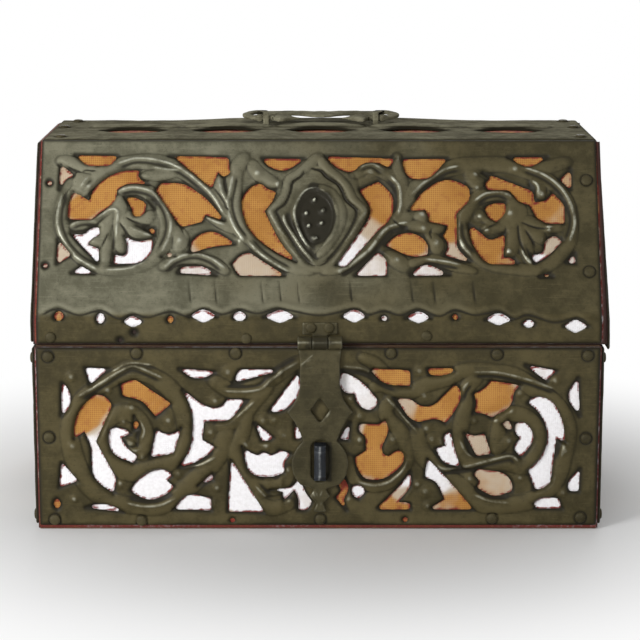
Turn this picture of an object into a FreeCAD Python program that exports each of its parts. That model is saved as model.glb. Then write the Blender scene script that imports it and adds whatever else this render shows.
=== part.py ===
import FreeCAD, Part
import math
import os

os.makedirs("parts", exist_ok=True)
Vector = FreeCAD.Vector

# All lengths are in millimetres. +X is to the right of the front, +Y runs to the back, +Z is up.
# The origin is the middle of the face that the casket rests on.

# Wooden box
core_width = 240.0
core_depth = 144.0
wall_height = 80.8
board = 7.0
base_board_thickness = 7.0

# Cloth over the wood, and the pierced iron over the cloth
cloth = 0.7
iron = 1.2
foot_strip = 1.7
cloth_foot = 0.4
edge_setback = 0.3

# Wooden lid: a low upright rim, long slopes and a flat top
lid_gap = 0.6
rim_height = 10.0
slope_rise = 71.5
slope_setback = 36.0
left_lean = 0.3
right_lean = 2.2
right_overhang = 2.0
lid_sheet_inset = 0.6
lid_left_border = 1.3
lid_front_shift = 1.1

# Borders of the hidden sides' scrollwork
scroll_frame = 7.0
scroll_rib = 2.0
scroll_foot = 5.5
plain_band_share = 0.24

# Hasp, its barrel and the staple it drops over
hasp_centre = 0.8
hasp_foot = 8.6
hasp_width = 28.2
hasp_thickness = 1.6
hasp_stand_off = 0.8
barrel_length = 19.0
barrel_radius = 2.85
barrel_height = 2.4
barrel_pin_radius = 1.2
running_gap = 0.08
knuckle_gap = 0.2
middle_knuckle = 6.6
leaf_thickness = 1.2
leaf_width = 15.0
leaf_rivet_spread = 3.8
leaf_rivet_drop = 2.2
slot_width = 7.8
slot_height = 18.6
slot_rise = 13.2
staple_width = 5.0
staple_bar = 2.2
staple_foot_gap = 1.8
staple_reach = 9.0
staple_top_gap = 1.4

# Strap hinges on the back
hinge_place_share = 0.325
hinge_width = 22.0
hinge_radius = 2.4
hinge_pin_radius = 1.2
hinge_seat_gap = 0.1
hinge_middle_knuckle = 8.0
hinge_strap = 26.0
hinge_leaf_rise = 8.2

# Carrying handle on the flat top
handle_centre = 1.2
handle_half_width = 36.0
handle_depth = 25.0
handle_bar = 3.6
handle_thickness = 3.0
handle_lift = 4.0
handle_axis_height = 3.6
handle_axis_back = 12.0
journal_radius = 1.3
journal_gap = 0.1
journal_place_share = 0.745
eye_place_share = 0.69
eye_wire = 1.3
eye_length = 2.6
leaf_root_share = 0.625
leaf_place_share = 0.54
leaf_half_width = 2.3
leaf_flat = 2.4
tip_place_share = 0.265
tip_half_width = 0.5

# Wrought nails
nail_head_radius = 2.2
nail_head_height = 1.3
nail_shank = 1.3
nail_length = 5.0
head_sides = 6
end_nail_inset = 5.0
hole_radius = 1.1
overrun = 1.0
chords_in_half_circle = 11

# Places that follow from the sizes above
half_width = core_width / 2
half_depth = core_depth / 2
front_face = half_depth + cloth + iron
end_face = half_width + cloth + iron
panel_height = wall_height - foot_strip - edge_setback
lid_bottom = wall_height + lid_gap
fold_height = lid_bottom + rim_height
wood_top = fold_height + slope_rise
top_half_depth = half_depth - slope_setback
iron_top = wood_top + cloth + iron
slope_length = math.hypot(slope_setback, slope_rise)
lid_front_width = core_width - 2 * lid_sheet_inset

# Each scrollwork sheet is drawn on squared paper: (columns, rows) across the panel.
body_squares_shares = (240.0, 78.0)
slope_squares_shares = (240.0, 82.0)

# An opening is a list of corners, anticlockwise: column from the middle, row from the foot, and
# the bow of the side that follows, as a share of half its length, outward when it is positive.
body_front_opening_shares = [
    [(-99, 69, 0), (-97, 62, 0), (-89.5, 68.5, 0)],
    [(-109, 62.5, 0), (-109.5, 48.5, 0.5)],
    [(-104.3, 38.5, 0), (-100, 41.5, 0), (-97.6, 36, 0), (-95.5, 20.5, 0), (-88, 14.3, 0),
     (-87.5, 22, 0), (-95.3, 37, 0), (-88.2, 52.5, 0.35), (-94.5, 57.3, 0.3)],
    [(-84, 62, 0), (-83.3, 57, 0), (-76, 55, 0), (-69.3, 48, 0), (-62.8, 53.5, 0),
     (-77, 63.2, 0)],
    [(-80.2, 40.5, 0.25), (-88.5, 42.5, 0.25), (-88, 32.5, 0), (-79.3, 27.6, 0),
     (-77.6, 30.8, -0.2), (-84.5, 38.8, 0)],
    [(-78.5, 48.3, 0), (-79, 42, 0.2), (-77, 43.5, 0)],
    [(-71.8, 30.2, 0), (-62, 32, 0), (-58.6, 43, -0.5), (-69, 42.3, 0)],
    [(-80.5, 15.6, 0.2), (-72, 11.6, 0.2), (-62.2, 17, 0), (-65.3, 20, 0), (-63, 22, 0.2),
     (-65, 24, 0), (-77, 20.3, 0)],
    [(-110, 27.7, 0), (-111.2, 17, 0), (-103.3, 19.8, 0)],
    [(-100, 8, 0), (-84, 6, 0.27)],
    [(-59, 68.6, 0), (-53.5, 65, 0.25), (-44, 67.3, 0)],
    [(-57.7, 59.3, -0.31), (-59.3, 26, 0.17), (-44.2, 34.5, 0), (-49.8, 37.6, 0),
     (-48.8, 46, 0), (-40, 46.2, 0), (-31, 55.2, 0), (-38.8, 55.3, -0.4), (-45.8, 51.6, 0)],
    [(-45.3, 23, 0), (-51.5, 17.8, 0), (-45.3, 20.3, 0)],
    [(-62, 7.2, 0), (-46, 6.8, 0), (-46.3, 12, 0), (-56.5, 13, 0)],
    [(-112.5, 12, 0.2), (-113.8, 9.5, 0.2), (-112.4, 7.2, 0.2), (-111, 9.5, 0.2)],
    [(-36, 62.8, 0), (-18.8, 67.2, 0.2), (-20, 68.2, 0), (-32.2, 68.2, 0)],
    [(-8.5, 66.8, 0), (-20.8, 50.3, 0), (-17.5, 50, 0), (-13, 52, 0), (-8, 59.5, 0)],
    [(-26.9, 45, 0), (-24, 37.3, 0.2), (-19.3, 38.8, 0)],
    [(-10, 45.2, 0), (-10, 38.3, 0.3), (-6.7, 39.3, 0)],
    [(-32.6, 35.3, 0), (-27.5, 22.5, 0.22), (-14.7, 23.5, 0), (-14.5, 28, 0), (-11.8, 31.7, 0),
     (-16.5, 33, -0.2), (-20, 30.9, 0), (-23.5, 32, 0), (-26, 30.9, -0.2)],
    [(-37.3, 29, 0), (-38.8, 6.2, 0), (-23.3, 6, 0)],
    [(-20.5, 15.8, 0), (-15.3, 15, 0), (-14.7, 11.3, 0), (-10.3, 16, -0.2), (-8.6, 6.9, 0),
     (-5, 7.2, 0), (-2.8, 10.5, 0), (-5.2, 14, 0), (-8.2, 20.8, 0), (-10.3, 17.8, 0)],
    [(10, 67.1, 0), (9.6, 61, 0), (12.8, 58, 0), (15.5, 58.3, 0), (17.2, 53.3, 0),
     (22.5, 51, 0.3), (25.1, 54, 0.22)],
    [(22.8, 67.4, 0), (27, 63.3, 0), (39.3, 61.2, 0), (39, 67.8, 0), (23.8, 68.6, 0)],
    [(13.5, 45.3, 0), (9.2, 38, 0), (13, 37.7, 0)],
    [(18, 44.7, 0), (17.5, 42, 0), (19.9, 39.5, 0), (20.6, 33, 0), (15.9, 30, 0.2), (20, 21, 0.25),
     (31, 22.5, 0), (36.6, 31, 0.4), (34, 32.8, 0), (29, 30.6, -0.3), (27.2, 33.5, 0),
     (29.8, 43, 0), (28.7, 46.3, 0), (25, 44.3, 0)],
    [(14.2, 17.2, 0), (15.5, 13, 0), (17.5, 11.9, 0), (19.9, 15.5, 0.2), (18.3, 17.4, 0)],
    [(11.2, 21, 0), (8.6, 18.5, 0), (9.8, 15.5, 0), (7.6, 12.3, 0), (12.2, 6.9, 0), (11, 11, 0),
     (12.8, 16.5, 0)],
    [(33.2, 55.8, 0), (41.5, 46, 0), (51.3, 46.8, 0), (54.3, 45.2, 0), (56.6, 48, 0),
     (59.8, 60.2, 0), (58.3, 61.6, 0), (52, 55.3, -0.5), (40.5, 54.6, 0)],
    [(39.6, 23.6, 0), (36.3, 19, 0), (25.8, 7.9, 0), (27.5, 7.1, 0), (39.7, 7.2, 0),
     (39.4, 9.8, 0), (34.3, 10.3, 0), (39.8, 19, 0)],
    [(46.6, 68.6, 0), (47.5, 66.3, 0.2), (57.8, 67.6, 0), (57, 68.7, 0)],
    [(86, 61.5, 0), (83.6, 58.8, 0), (82.3, 53.5, 0), (74, 47.5, 0.2), (66.6, 49.5, 0.25),
     (66.3, 57.8, 0.2), (73.5, 63.3, 0)],
    [(89.6, 53.9, -0.27), (98.3, 37.5, -0.2), (90.2, 24.4, 0), (93.4, 16, 0.25), (99.7, 19.5, 0),
     (101.8, 38.6, 0), (105.7, 37, 0), (103.8, 47, 0), (97.8, 55.4, 0), (91.5, 55.8, 0)],
    [(62.6, 40.8, 0), (67.8, 30.8, 0), (74, 31.6, 0), (71, 40.4, 0), (67, 39.4, 0)],
    [(84.2, 44.8, 0), (84.6, 40.8, 0), (86.7, 38.5, 0), (84.3, 34.2, 0), (87, 30, 0),
     (91.9, 39.5, 0.2), (88.5, 44.9, 0)],
    [(78.7, 44.8, 0), (81, 42.4, 0), (83.3, 42.3, 0), (81.2, 46.2, 0)],
    [(67, 22.5, 0), (69.3, 19, 0), (68.2, 16.8, 0), (76, 13.2, 0), (83.2, 15.2, 0.25),
     (81.5, 21.3, 0), (68.5, 25, 0)],
    [(56.3, 41.3, 0), (54, 39.3, 0), (54.6, 35, 0), (50.3, 33.9, 0), (53.5, 28.5, 0),
     (60.8, 26, 0), (58.3, 34, 0)],
    [(46.9, 29.5, 0), (45.9, 21.5, 0), (50, 19.6, 0), (54.5, 11.6, 0), (49, 8, 0),
     (50, 7.2, 0), (66.8, 7.1, 0), (58, 17.5, 0)],
    [(88.3, 70.2, 0), (96.8, 63.6, 0), (101.2, 67.7, 0)],
    [(110.6, 64.6, 0), (106.8, 57, 0), (111.6, 48.3, 0)],
    [(112.3, 25, 0), (107.5, 17.3, 0), (108, 15.3, 0), (112, 15.2, 0)],
    [(92.7, 9.8, 0), (94.5, 7.7, 0), (105, 7.6, 0), (102.3, 12, 0), (97, 12.2, 0)],
]

lid_front_opening_shares = [
    [(-106.5, 75.9, 0), (-100, 71.2, 0), (-92.5, 71.2, 0), (-88, 75.6, 0)],
    [(-112.6, 71.2, 0), (-113, 60, 0), (-110, 65, 0), (-106.8, 66.5, 0)],
    [(-108.8, 46.3, 0), (-100, 46.2, 0), (-95.3, 49.5, 0), (-88.9, 55.5, 0), (-88, 60, -0.2),
     (-82, 62.9, 0), (-74.6, 62.2, 0), (-79.2, 66.3, 0), (-78.6, 69, 0), (-88, 67.7, 0),
     (-99.2, 57, 0), (-99.6, 54.4, 0), (-106.8, 58.8, 0), (-108.7, 52, 0)],
    [(-84.2, 56, 0), (-81.3, 51, 0), (-80.3, 47.8, 0.3), (-76.8, 48.6, 0), (-75.5, 53.2, 0.25)],
    [(-74.3, 54.6, 0), (-71.5, 51.3, 0), (-72, 53.7, 0)],
    [(-107.4, 39.6, 0), (-95.2, 26, 0), (-95.3, 32.6, 0), (-100.2, 34.6, -0.25),
     (-95.8, 38.8, 0), (-95.2, 42.2, 0), (-98.4, 42, 0), (-102, 39.2, 0)],
    [(-88.4, 30.4, 0), (-88.6, 26, 0), (-81, 26, 0), (-73.5, 30.3, 0), (-72.1, 37, 0),
     (-80.5, 36.3, 0), (-84.2, 38.6, 0), (-82.9, 33.5, 0), (-83.8, 29.9, -0.35)],
    [(-75.2, 42, 0), (-71.6, 39, 0), (-71.3, 41.8, 0)],
    [(-112.6, 36.6, 0), (-113, 25.8, 0), (-107.2, 29.8, 0)],
    [(-106.6, 21.6, 0), (-97, 21.3, 0), (-102.5, 24.6, 0)],
    [(-70.9, 59.2, 0), (-61.2, 44.2, 0), (-51.3, 45, 0), (-50, 48.5, 0), (-41.6, 45.8, 0),
     (-52, 57.6, 0), (-61.5, 62.7, 0), (-68.5, 62.9, 0.2)],
    [(-68.2, 28.8, 0), (-62.3, 29.2, 0), (-65, 30.7, 0)],
    [(-60.9, 21.8, 0), (-44.7, 20.6, 0), (-52, 24.7, 0), (-59, 24.4, 0)],
    [(-65.5, 75.6, 0), (-62.5, 74.2, 0), (-47.3, 60.7, 0), (-44.6, 68.3, 0), (-42.4, 66, 0),
     (-39.5, 67.2, 0), (-40.3, 74.8, 0)],
    [(-55.8, 30.8, 0), (-48.5, 33.2, 0), (-36.6, 35, 0), (-48, 40.4, 0.2), (-54.9, 36.5, 0)],
    [(-25.2, 74.4, 0), (-23.8, 72.2, 0), (-17.5, 69, 0), (-6.8, 74.2, 0)],
    [(-32.9, 57.5, 0), (-31.3, 43, 0), (-19, 31.2, 0), (-10.5, 26.7, 0), (-17, 35, 0),
     (-24.4, 50, 0), (-17.6, 58.6, 0), (-22.3, 59.8, 0), (-27, 62.5, 0.2)],
    [(-38, 25.7, 0), (-33.8, 20.5, 0), (-15.4, 20.5, 0), (-30.3, 30.6, 0), (-33.6, 30, 0)],
    [(2.3, 75.2, 0), (8.5, 69.4, 0), (14, 68.6, 0), (17.5, 71.7, 0), (23.5, 72.8, 0),
     (29.5, 70.3, 0), (32, 74.3, 0)],
    [(35.3, 74, 0), (38.3, 66, 0), (44.5, 64.9, 0), (55, 74.2, 0)],
    [(16.9, 59.7, 0), (21.6, 50, 0), (19.5, 44, 0), (6.7, 25, 0), (11.3, 25.3, 0), (24, 40.5, 0),
     (29.5, 46.3, 0), (30.5, 57, 0), (25, 63.6, 0)],
    [(27.8, 34.3, 0), (40.3, 29.3, 0), (45.8, 29.8, 0), (45.3, 35.3, 0), (39.5, 39.6, 0),
     (33.5, 39, 0)],
    [(24.6, 31.3, 0), (14.8, 20.5, 0), (28, 20.5, 0), (28.2, 26, 0)],
    [(38.4, 20.5, 0), (55.2, 20.9, 0), (43.5, 24.9, 0)],
    [(38, 50, 0), (45, 50.9, -0.2), (46.6, 45.3, 0), (54.8, 43.5, -0.2), (52.3, 38.6, -0.2),
     (54.8, 34, 0), (53.3, 29.8, 0), (63.7, 26.7, 0), (58.2, 35, 0), (58.2, 47.5, 0),
     (64.2, 56.5, 0), (63.5, 60.8, 0.2), (54, 64.2, 0), (45, 59.3, 0)],
    [(81.5, 74.8, 0), (90, 70.8, 0), (98.3, 75, 0)],
    [(70.3, 67.8, 0), (73.3, 65, 0), (71.2, 62.5, 0), (72.3, 59.8, 0), (80.5, 59.8, 0),
     (86, 54.3, 0), (89.8, 53, 0), (93.5, 46.8, 0), (99, 44.4, 0), (105, 44.4, 0),
     (105, 51, 0), (100.3, 58.3, 0), (97, 54.7, 0), (92.2, 54, 0), (90.5, 59.5, 0)],
    [(103.7, 64.4, 0), (108, 60, 0), (108.2, 69, 0)],
    [(70.9, 51.6, 0), (72.3, 47.5, 0), (75.8, 45, 0), (79.3, 49.5, 0), (79.6, 53.5, 0.2)],
    [(63.7, 43.6, 0), (66, 33.5, 0), (73.5, 25.8, 0), (84.3, 25.6, 0), (81.5, 28.3, 0),
     (78, 28.6, 0), (79.2, 39.2, 0), (72.5, 36.9, 0), (68, 40.5, 0)],
    [(90.5, 29.6, 0), (91.8, 26.2, 0), (96.5, 29, 0), (103.6, 36, 0), (100.5, 38.3, 0),
     (97, 36.6, 0), (95.3, 31, 0)],
    [(105.3, 26.3, 0), (109, 26, 0), (109, 30.5, 0)],
    [(93.8, 19.8, 0), (99.3, 19.8, 0), (96.5, 21.4, 0)],
]

# Lozenges and small ovals along the fold of the lid front: middle, height over the fold, half
# width and half height, in squares, and whether the shape is a lozenge
fold_opening_shares = [
    (-111.5, 2.4, 2.0, 2.0, False), (-93.7, 1.4, 1.6, 2.4, False), (-80.0, 0.0, 4.6, 2.4, True),
    (-64.0, 1.0, 1.2, 1.7, False), (-50.0, 2.4, 5.8, 2.6, True), (-34.6, 2.3, 2.7, 1.9, False),
    (-17.5, 2.2, 6.6, 2.6, True), (14.2, 2.3, 5.2, 2.6, True), (27.0, 1.5, 1.3, 1.2, False),
    (41.5, 1.8, 5.4, 2.3, True), (57.2, 2.0, 1.2, 1.2, False), (75.6, 1.0, 5.5, 2.5, True),
    (88.5, -0.9, 2.4, 1.7, False), (108.4, -1.9, 5.2, 3.0, True),
]

small_oval_bow = 0.25

# One running scroll for the ends, the back and the lid's other faces, on 68 by 66 squares
scroll_squares_shares = (68.0, 66.0)
scroll_opening_shares = [
    [(3, 64, 0), (2, 44, 0), (10, 57, 0), (23, 64, 0)],
    [(20, 57, 0.5), (13, 14, -0.28)],
    [(50, 44, 0.3), (27, 58, 0), (29, 50, 0), (43, 42, 0)],
    [(36, 40, 0.7), (37, 22.6, 0)],
    [(22, 2, 0), (49, 1.8, 0), (47.5, 17, 0), (34, 11, 0)],
    [(56, 56, 0), (57, 34, 0), (54, 14, 0), (66, 30, 0), (61, 37, 0), (65, 50, 0)],
]

# The shield in the middle of the lid front, and the seeds of its oval boss
shield_shares = [
    (-1.5, 76, -0.1), (-17, 66.5, 0.1), (-19.5, 58, -0.1), (-23.8, 50, 0.1), (-1.5, 24, 0.1),
    (20.8, 50, -0.1), (16.5, 58, 0.1), (14, 66.5, -0.1),
]
shield_boss_share = (-1.8, 46.0)
boss_ring_shares = (9.2, 14.6)
boss_dome_shares = (7.4, 12.4)
seed_shares = [(-2.4, 55), (-6, 48.7), (1.5, 50.2), (-4.8, 43), (0.8, 44), (-1.6, 37)]
shield_rise = 0.7
ring_rise = 0.8
dome_rise = 1.2
seed_radius = 1.3
oval_bow = 0.36

# Right edge of the hasp from the barrel down, as shares of half its width and of its length,
# with the bow of the side that follows; the left edge is its mirror image
hasp_edge_shares = [
    (0.67, 0.0, 0), (0.6, -0.12, 0), (0.6, -0.25, -0.18), (1.0, -0.409, -0.12),
    (0.51, -0.58, 0), (0.58, -0.592, 0.42), (0.6, -0.838, 0), (0.17, -0.863, 0),
    (0.31, -0.907, 0), (0.1, -0.95, 0), (0.21, -1.0, 0),
]
lozenge_share = (0.284, 0.067)
lozenge_place_share = 0.398

# Right edge of a hinge strap from the barrel down, and its rivets, as shares of width and length
strap_edge_shares = [(0.5, 0.0, 0), (0.5, -0.55, 0), (0.16, -0.8, 0), (0.04, -1.0, 0)]
strap_rivet_shares = [(-0.28, -0.25), (0.28, -0.25), (0.0, -0.68)]
leaf_rivet_shares = [(-0.3, 0.62), (0.3, 0.62)]

# Right edge of the bail in plan, from the back, as shares of its half width and depth
bail_edge_shares = [(0.75, 0.93, 0.25), (1.0, 0.4, 0.3), (0.78, 0.0, 0)]
bail_back_bow = 0.06

# Eye-shaped openings of the flat top: how many, and their shape as shares of the spacing
top_openings = 5
top_spacing_share = 0.175
top_opening_front = 4.0
top_opening_half_share = 0.34
top_opening_bow_shares = (0.6, 0.55)

# Ends of the lid: a pair of scrolls under an eye, as shares of the sheet, and the eye's two bows
lid_end_scroll_shares = (0.72, 0.58)
lid_end_eye_share = 0.5
lid_end_eye_bow_shares = (0.25, 0.45)

# Nails as squares of their panel
body_front_nail_shares = [
    (-114.7, 74), (-77, 75.5), (-35, 75.5), (31, 75.5), (76, 75), (114.5, 74.5), (-115, 39),
    (114.5, 38.5), (-113.4, 2.8), (-76, 2.3), (1, 3), (75, 3.3), (113, 3.7),
]
slope_end_nail_shares = [64, 22]
rim_end_nail_shares = [0.35]
rim_nail_shares = [(-31.7, 0.3), (45, 0.4)]
back_nail_shares = [(-114, 74), (0, 75), (114, 74), (-114, 4), (0, 3), (114, 4)]
end_nail_shares = [(-0.47, 0.93), (0.47, 0.93), (-0.47, 0.05), (0.47, 0.05)]
lid_end_nail_shares = [(-0.41, 0.07), (0.41, 0.07), (0.0, 0.93)]
top_nail_shares = [
    (-0.475, -0.4), (-0.485, 0.1), (0.475, -0.4), (0.48, 0.1), (-0.47, 0.42), (0.47, 0.42),
]

# Holes whose nails are lost, as squares of their panel
body_hole_shares = [(-37, 2.3), (37.5, 2.5)]
slope_hole_shares = [(-117.3, 63), (-118, 25)]
rim_hole_shares = [(-85.5, 0.2), (-79.5, 0.55)]


def box(x0, x1, y0, y1, z0, z1):
    """Block between two corners."""
    return Part.makeBox(x1 - x0, y1 - y0, z1 - z0, Vector(x0, y0, z0))


def frame(origin, right, up):
    """Placement whose X runs right along a face, Y up it and Z out of it."""
    out = right.cross(up)
    return FreeCAD.Placement(
        FreeCAD.Matrix(
            right.x, up.x, out.x, origin.x,
            right.y, up.y, out.y, origin.y,
            right.z, up.z, out.z, origin.z,
            0, 0, 0, 1,
        )
    )


def placed(shape, placement):
    """A copy of a shape, moved from its own drawing plane to its face."""
    moved = shape.copy()
    moved.transformShape(placement.toMatrix())
    return moved


def side(start, end, bow):
    """Points of a straight side, or of a side that bows to the right, cut as short chords."""
    if bow == 0:
        return [start]
    half = (end - start) * 0.5
    across = Vector(half.y, -half.x, 0) * math.copysign(1.0, bow)
    turn = 2 * math.atan(abs(bow))
    chords = 1 + math.ceil((chords_in_half_circle - 1) * turn / (math.pi / 2))
    angles = [turn * (2 * i / chords - 1) for i in range(chords)]
    radius = 1 / math.sin(turn)
    along = [1 + radius * math.sin(angle) for angle in angles]
    out = [radius * (math.cos(angle) - math.cos(turn)) for angle in angles]
    return [start + half * a + across * b for a, b in zip(along, out)]


def outline(corners):
    """Closed wire through (x, y, bow) corners."""
    points = [Vector(x, y, 0) for x, y, bow in corners]
    following = points[1:] + points[:1]
    rim = []
    for a, b, corner in zip(points, following, corners):
        rim += side(a, b, corner[2])
    return Part.makePolygon(rim + rim[:1])


def symmetrical(edge, top_bow=0.0):
    """Closed wire from its right edge, listed from the top down, and the same edge mirrored."""
    bows = [corner[2] for corner in edge]
    left = [(-x, y, bow) for x, y, bow in edge]
    right = [(x, y, bow) for (x, y, own), bow in zip(edge[::-1], bows[-2::-1] + [top_bow])]
    return outline(left + right)


def prism(wire, depth):
    """Solid from a flat wire in the drawing plane."""
    return Part.Face(wire).extrude(Vector(0, 0, depth))


def scaled(corners, across, along, x0=0.0, y0=0.0):
    """Corners on squared paper turned into lengths; a negative scale turns the motif over."""
    sized = [(x0 + x * across, y0 + y * along, bow) for x, y, bow in corners]
    if across * along > 0:
        return sized
    turned = [(a[0], a[1], b[2]) for a, b in zip(sized, sized[-1:] + sized[:-1])]
    return turned[::-1]


def cutters(openings, across, along, thickness, x0=0.0, y0=0.0):
    """Prisms that pierce a sheet lying on the drawing plane."""
    depth = thickness + 2 * overrun
    shapes = [prism(outline(scaled(corners, across, along, x0, y0)), depth) for corners in openings]
    return [shape.translated(Vector(0, 0, -overrun)) for shape in shapes]


def squares(places, across, along):
    """Places on squared paper turned into lengths."""
    return [(x * across, y * along) for x, y in places]


def holes(places):
    """Prisms for nail holes through a sheet lying on the drawing plane."""
    pin = prism(Part.makePolygon(ring_points(hole_radius)), iron + 2 * overrun)
    return [pin.translated(Vector(x, y, -overrun)) for x, y in places]


def scroll_cutters(x0, y0, width, height, thickness, mirrored=False):
    """The running scroll fitted into a width and height whose lower left corner is x0, y0."""
    across = width / scroll_squares_shares[0]
    along = height / scroll_squares_shares[1]
    if mirrored:
        x0 = x0 + width
        across = -across
    return cutters(scroll_opening_shares, across, along, thickness, x0, y0)


def export(name, shape):
    """Write one node."""
    shape.exportStep("parts/" + name + ".step")


def group(shapes):
    """Several separate solids in one node."""
    return Part.makeCompound(shapes)


def ring_points(radius):
    """Corners of a faceted head, closed."""
    turns = [2 * math.pi * i / head_sides for i in range(head_sides + 1)]
    return [Vector(radius * math.cos(t), radius * math.sin(t), 0) for t in turns]


def facets(radius, height):
    """Low faceted boss that rises from the drawing plane to a point."""
    ring = ring_points(radius)
    peak = Vector(0, 0, height)
    faces = [Part.Face(Part.makePolygon(ring))]
    faces += [Part.Face(Part.makePolygon([a, b, peak, a])) for a, b in zip(ring, ring[1:])]
    return Part.makeSolid(Part.makeShell(faces))


def nail():
    """Wrought nail in the drawing plane: a faceted rose head and a square shank behind it."""
    half = nail_shank / 2
    shank = box(-half, half, -half, half, -nail_length, 0.0)
    return facets(nail_head_radius, nail_head_height).fuse(shank)


def nails(places, placement):
    """A group of nails at (x, y) places on one face."""
    one = nail()
    return [placed(one.translated(Vector(x, y, 0)), placement) for x, y in places]


X = Vector(1, 0, 0)
Y = Vector(0, 1, 0)
Z = Vector(0, 0, 1)

# Wooden box: front and back boards run the full width, the end boards stand between them
inner_depth = half_depth - board
inner_width = half_width - board
front_board = box(-half_width, half_width, -half_depth, -inner_depth, 0.0, wall_height)
left_board = box(-half_width, -inner_width, -inner_depth, inner_depth, 0.0, wall_height)
floor_board = box(-inner_width, inner_width, -inner_depth, inner_depth, 0.0, base_board_thickness)
export("base_board", floor_board)
export("body_front_board", front_board)
export("body_back_board", front_board.mirror(Vector(0, 0, 0), Y))
export("body_left_board", left_board)
export("body_right_board", left_board.mirror(Vector(0, 0, 0), X))

# Cloth glued over the four walls, lapped at the corners
cloth_width = half_width + cloth
cloth_depth = half_depth + cloth
wall_cloth = box(-cloth_width, cloth_width, -cloth_depth, -half_depth, cloth_foot, wall_height)
end_cloth = box(-cloth_width, -half_width, -half_depth, half_depth, cloth_foot, wall_height)
export("body_front_cloth", wall_cloth)
export("body_back_cloth", wall_cloth.mirror(Vector(0, 0, 0), Y))
export("body_left_cloth", end_cloth)
export("body_right_cloth", end_cloth.mirror(Vector(0, 0, 0), X))

# Frames of the four walls: the drawing plane lies on the cloth
wall_front = frame(Vector(0, -cloth_depth, foot_strip), X, Z)
wall_back = frame(Vector(0, cloth_depth, foot_strip), -X, Z)
wall_left = frame(Vector(-cloth_width, 0, foot_strip), -Y, Z)
wall_right = frame(Vector(cloth_width, 0, foot_strip), Y, Z)

body_square = core_width / body_squares_shares[0]
body_row = panel_height / body_squares_shares[1]


def wall_sheet(width):
    """Plain iron sheet for a wall of the box."""
    return box(-width / 2, width / 2, 0.0, panel_height, 0.0, iron)


# Front sheet with its two great scrolls
front_cuts = cutters(body_front_opening_shares, body_square, body_row, iron)
front_cuts += holes(squares(body_hole_shares, body_square, body_row))
export("body_front_panel", placed(wall_sheet(core_width).cut(front_cuts), wall_front))

# Back sheet: a pair of wide scrolls, back to back
back_scroll = (core_width - 2 * scroll_frame - scroll_rib) / 2
scroll_height = panel_height - 2 * scroll_foot
back_cuts = scroll_cutters(scroll_rib / 2, scroll_foot, back_scroll, scroll_height, iron, mirrored=True)
back_cuts += scroll_cutters(-scroll_rib / 2 - back_scroll, scroll_foot, back_scroll, scroll_height, iron)
export("body_back_panel", placed(wall_sheet(core_width).cut(back_cuts), wall_back))

# End sheets: a pair of scrolls, back to back
end_sheet_width = 2 * cloth_depth
end_scroll = (end_sheet_width - 2 * scroll_frame - scroll_rib) / 2
end_start = -end_sheet_width / 2 + scroll_frame
end_cuts = scroll_cutters(end_start, scroll_foot, end_scroll, scroll_height, iron)
end_cuts += scroll_cutters(scroll_rib / 2, scroll_foot, end_scroll, scroll_height, iron, mirrored=True)
end_sheet = wall_sheet(end_sheet_width).cut(end_cuts)
export("body_left_panel", placed(end_sheet, wall_left))
export("body_right_panel", placed(end_sheet, wall_right))


def on_sheet(placement):
    """The same frame, moved out to the outer face of the iron."""
    return placement.multiply(FreeCAD.Placement(Vector(0, 0, iron), FreeCAD.Rotation()))


front_places = squares(body_front_nail_shares, body_square, body_row)
back_places = squares(back_nail_shares, body_square, body_row)
end_places = squares(end_nail_shares, end_sheet_width, panel_height)
export("body_front_nails", group(nails(front_places, on_sheet(wall_front))))
export("body_back_nails", group(nails(back_places, on_sheet(wall_back))))
export("body_left_nails", group(nails(end_places, on_sheet(wall_left))))
export("body_right_nails", group(nails(end_places, on_sheet(wall_right))))


# Lid profile across its depth, offset outwards from the wood: foot, fold and top at front and back
slope_angle = math.atan2(slope_rise, slope_setback)


def profile(offset, foot=lid_bottom):
    """Half profile at the front as (y, z): foot, fold and top edge, moved out by an offset."""
    fold = offset * math.tan((math.pi / 2 - slope_angle) / 2)
    edge = offset * math.tan(slope_angle / 2)
    return [
        (-half_depth - offset, foot),
        (-half_depth - offset, fold_height + fold),
        (-top_half_depth - edge, wood_top + offset),
    ]


def mirror_y(points):
    """The same places at the back."""
    return [(-y, z) for y, z in points]


def band(outer, inner, x0, x1):
    """Bent sheet or board: the area between two lines of (y, z) points, drawn along X."""
    points = [Vector(x0, y, z) for y, z in outer + inner[::-1]]
    return Part.Face(Part.makePolygon(points + points[:1])).extrude(Vector(x1 - x0, 0, 0))


def lid_block(offset, foot, out):
    """The whole lid outline as one block, whose ends lean out towards the foot."""
    front = profile(offset, foot)
    shape = band(front, mirror_y(front), -core_width, core_width)
    height = wood_top + offset - foot
    drop = (wood_top - foot) / (wood_top - lid_bottom)
    over = offset / (wood_top - lid_bottom)
    left_low = half_width + left_lean * drop + out
    left_high = half_width - left_lean * over + out
    right_low = half_width + right_lean * drop + out
    right_high = half_width - right_lean * over + out
    ends = Part.makePolygon([
        Vector(-left_low, -core_depth, foot),
        Vector(right_low, -core_depth, foot),
        Vector(right_high, -core_depth, foot + height),
        Vector(-left_high, -core_depth, foot + height),
        Vector(-left_low, -core_depth, foot),
    ])
    return shape.common(Part.Face(ends).extrude(Vector(0, 2 * core_depth, 0)))


def end_slice(block, inner, sign):
    """The part of a block that lies outside an inner block at one end."""
    half = box(0.0, core_width, -core_depth, core_depth, 0.0, 2 * wood_top)
    if sign < 0:
        half = half.mirror(Vector(0, 0, 0), X)
    return block.cut(inner).common(half)


# Boards of the lid: mitred rims, slopes and top between two end boards
wood = profile(0.0)
hollow = profile(-board)
between_ends = lid_block(0.0, lid_bottom, -board)
reach = core_width


def lid_board(first, last):
    """One board of the front half of the lid, between the end boards."""
    return band(wood[first:last], hollow[first:last], -reach, reach).common(between_ends)


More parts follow.
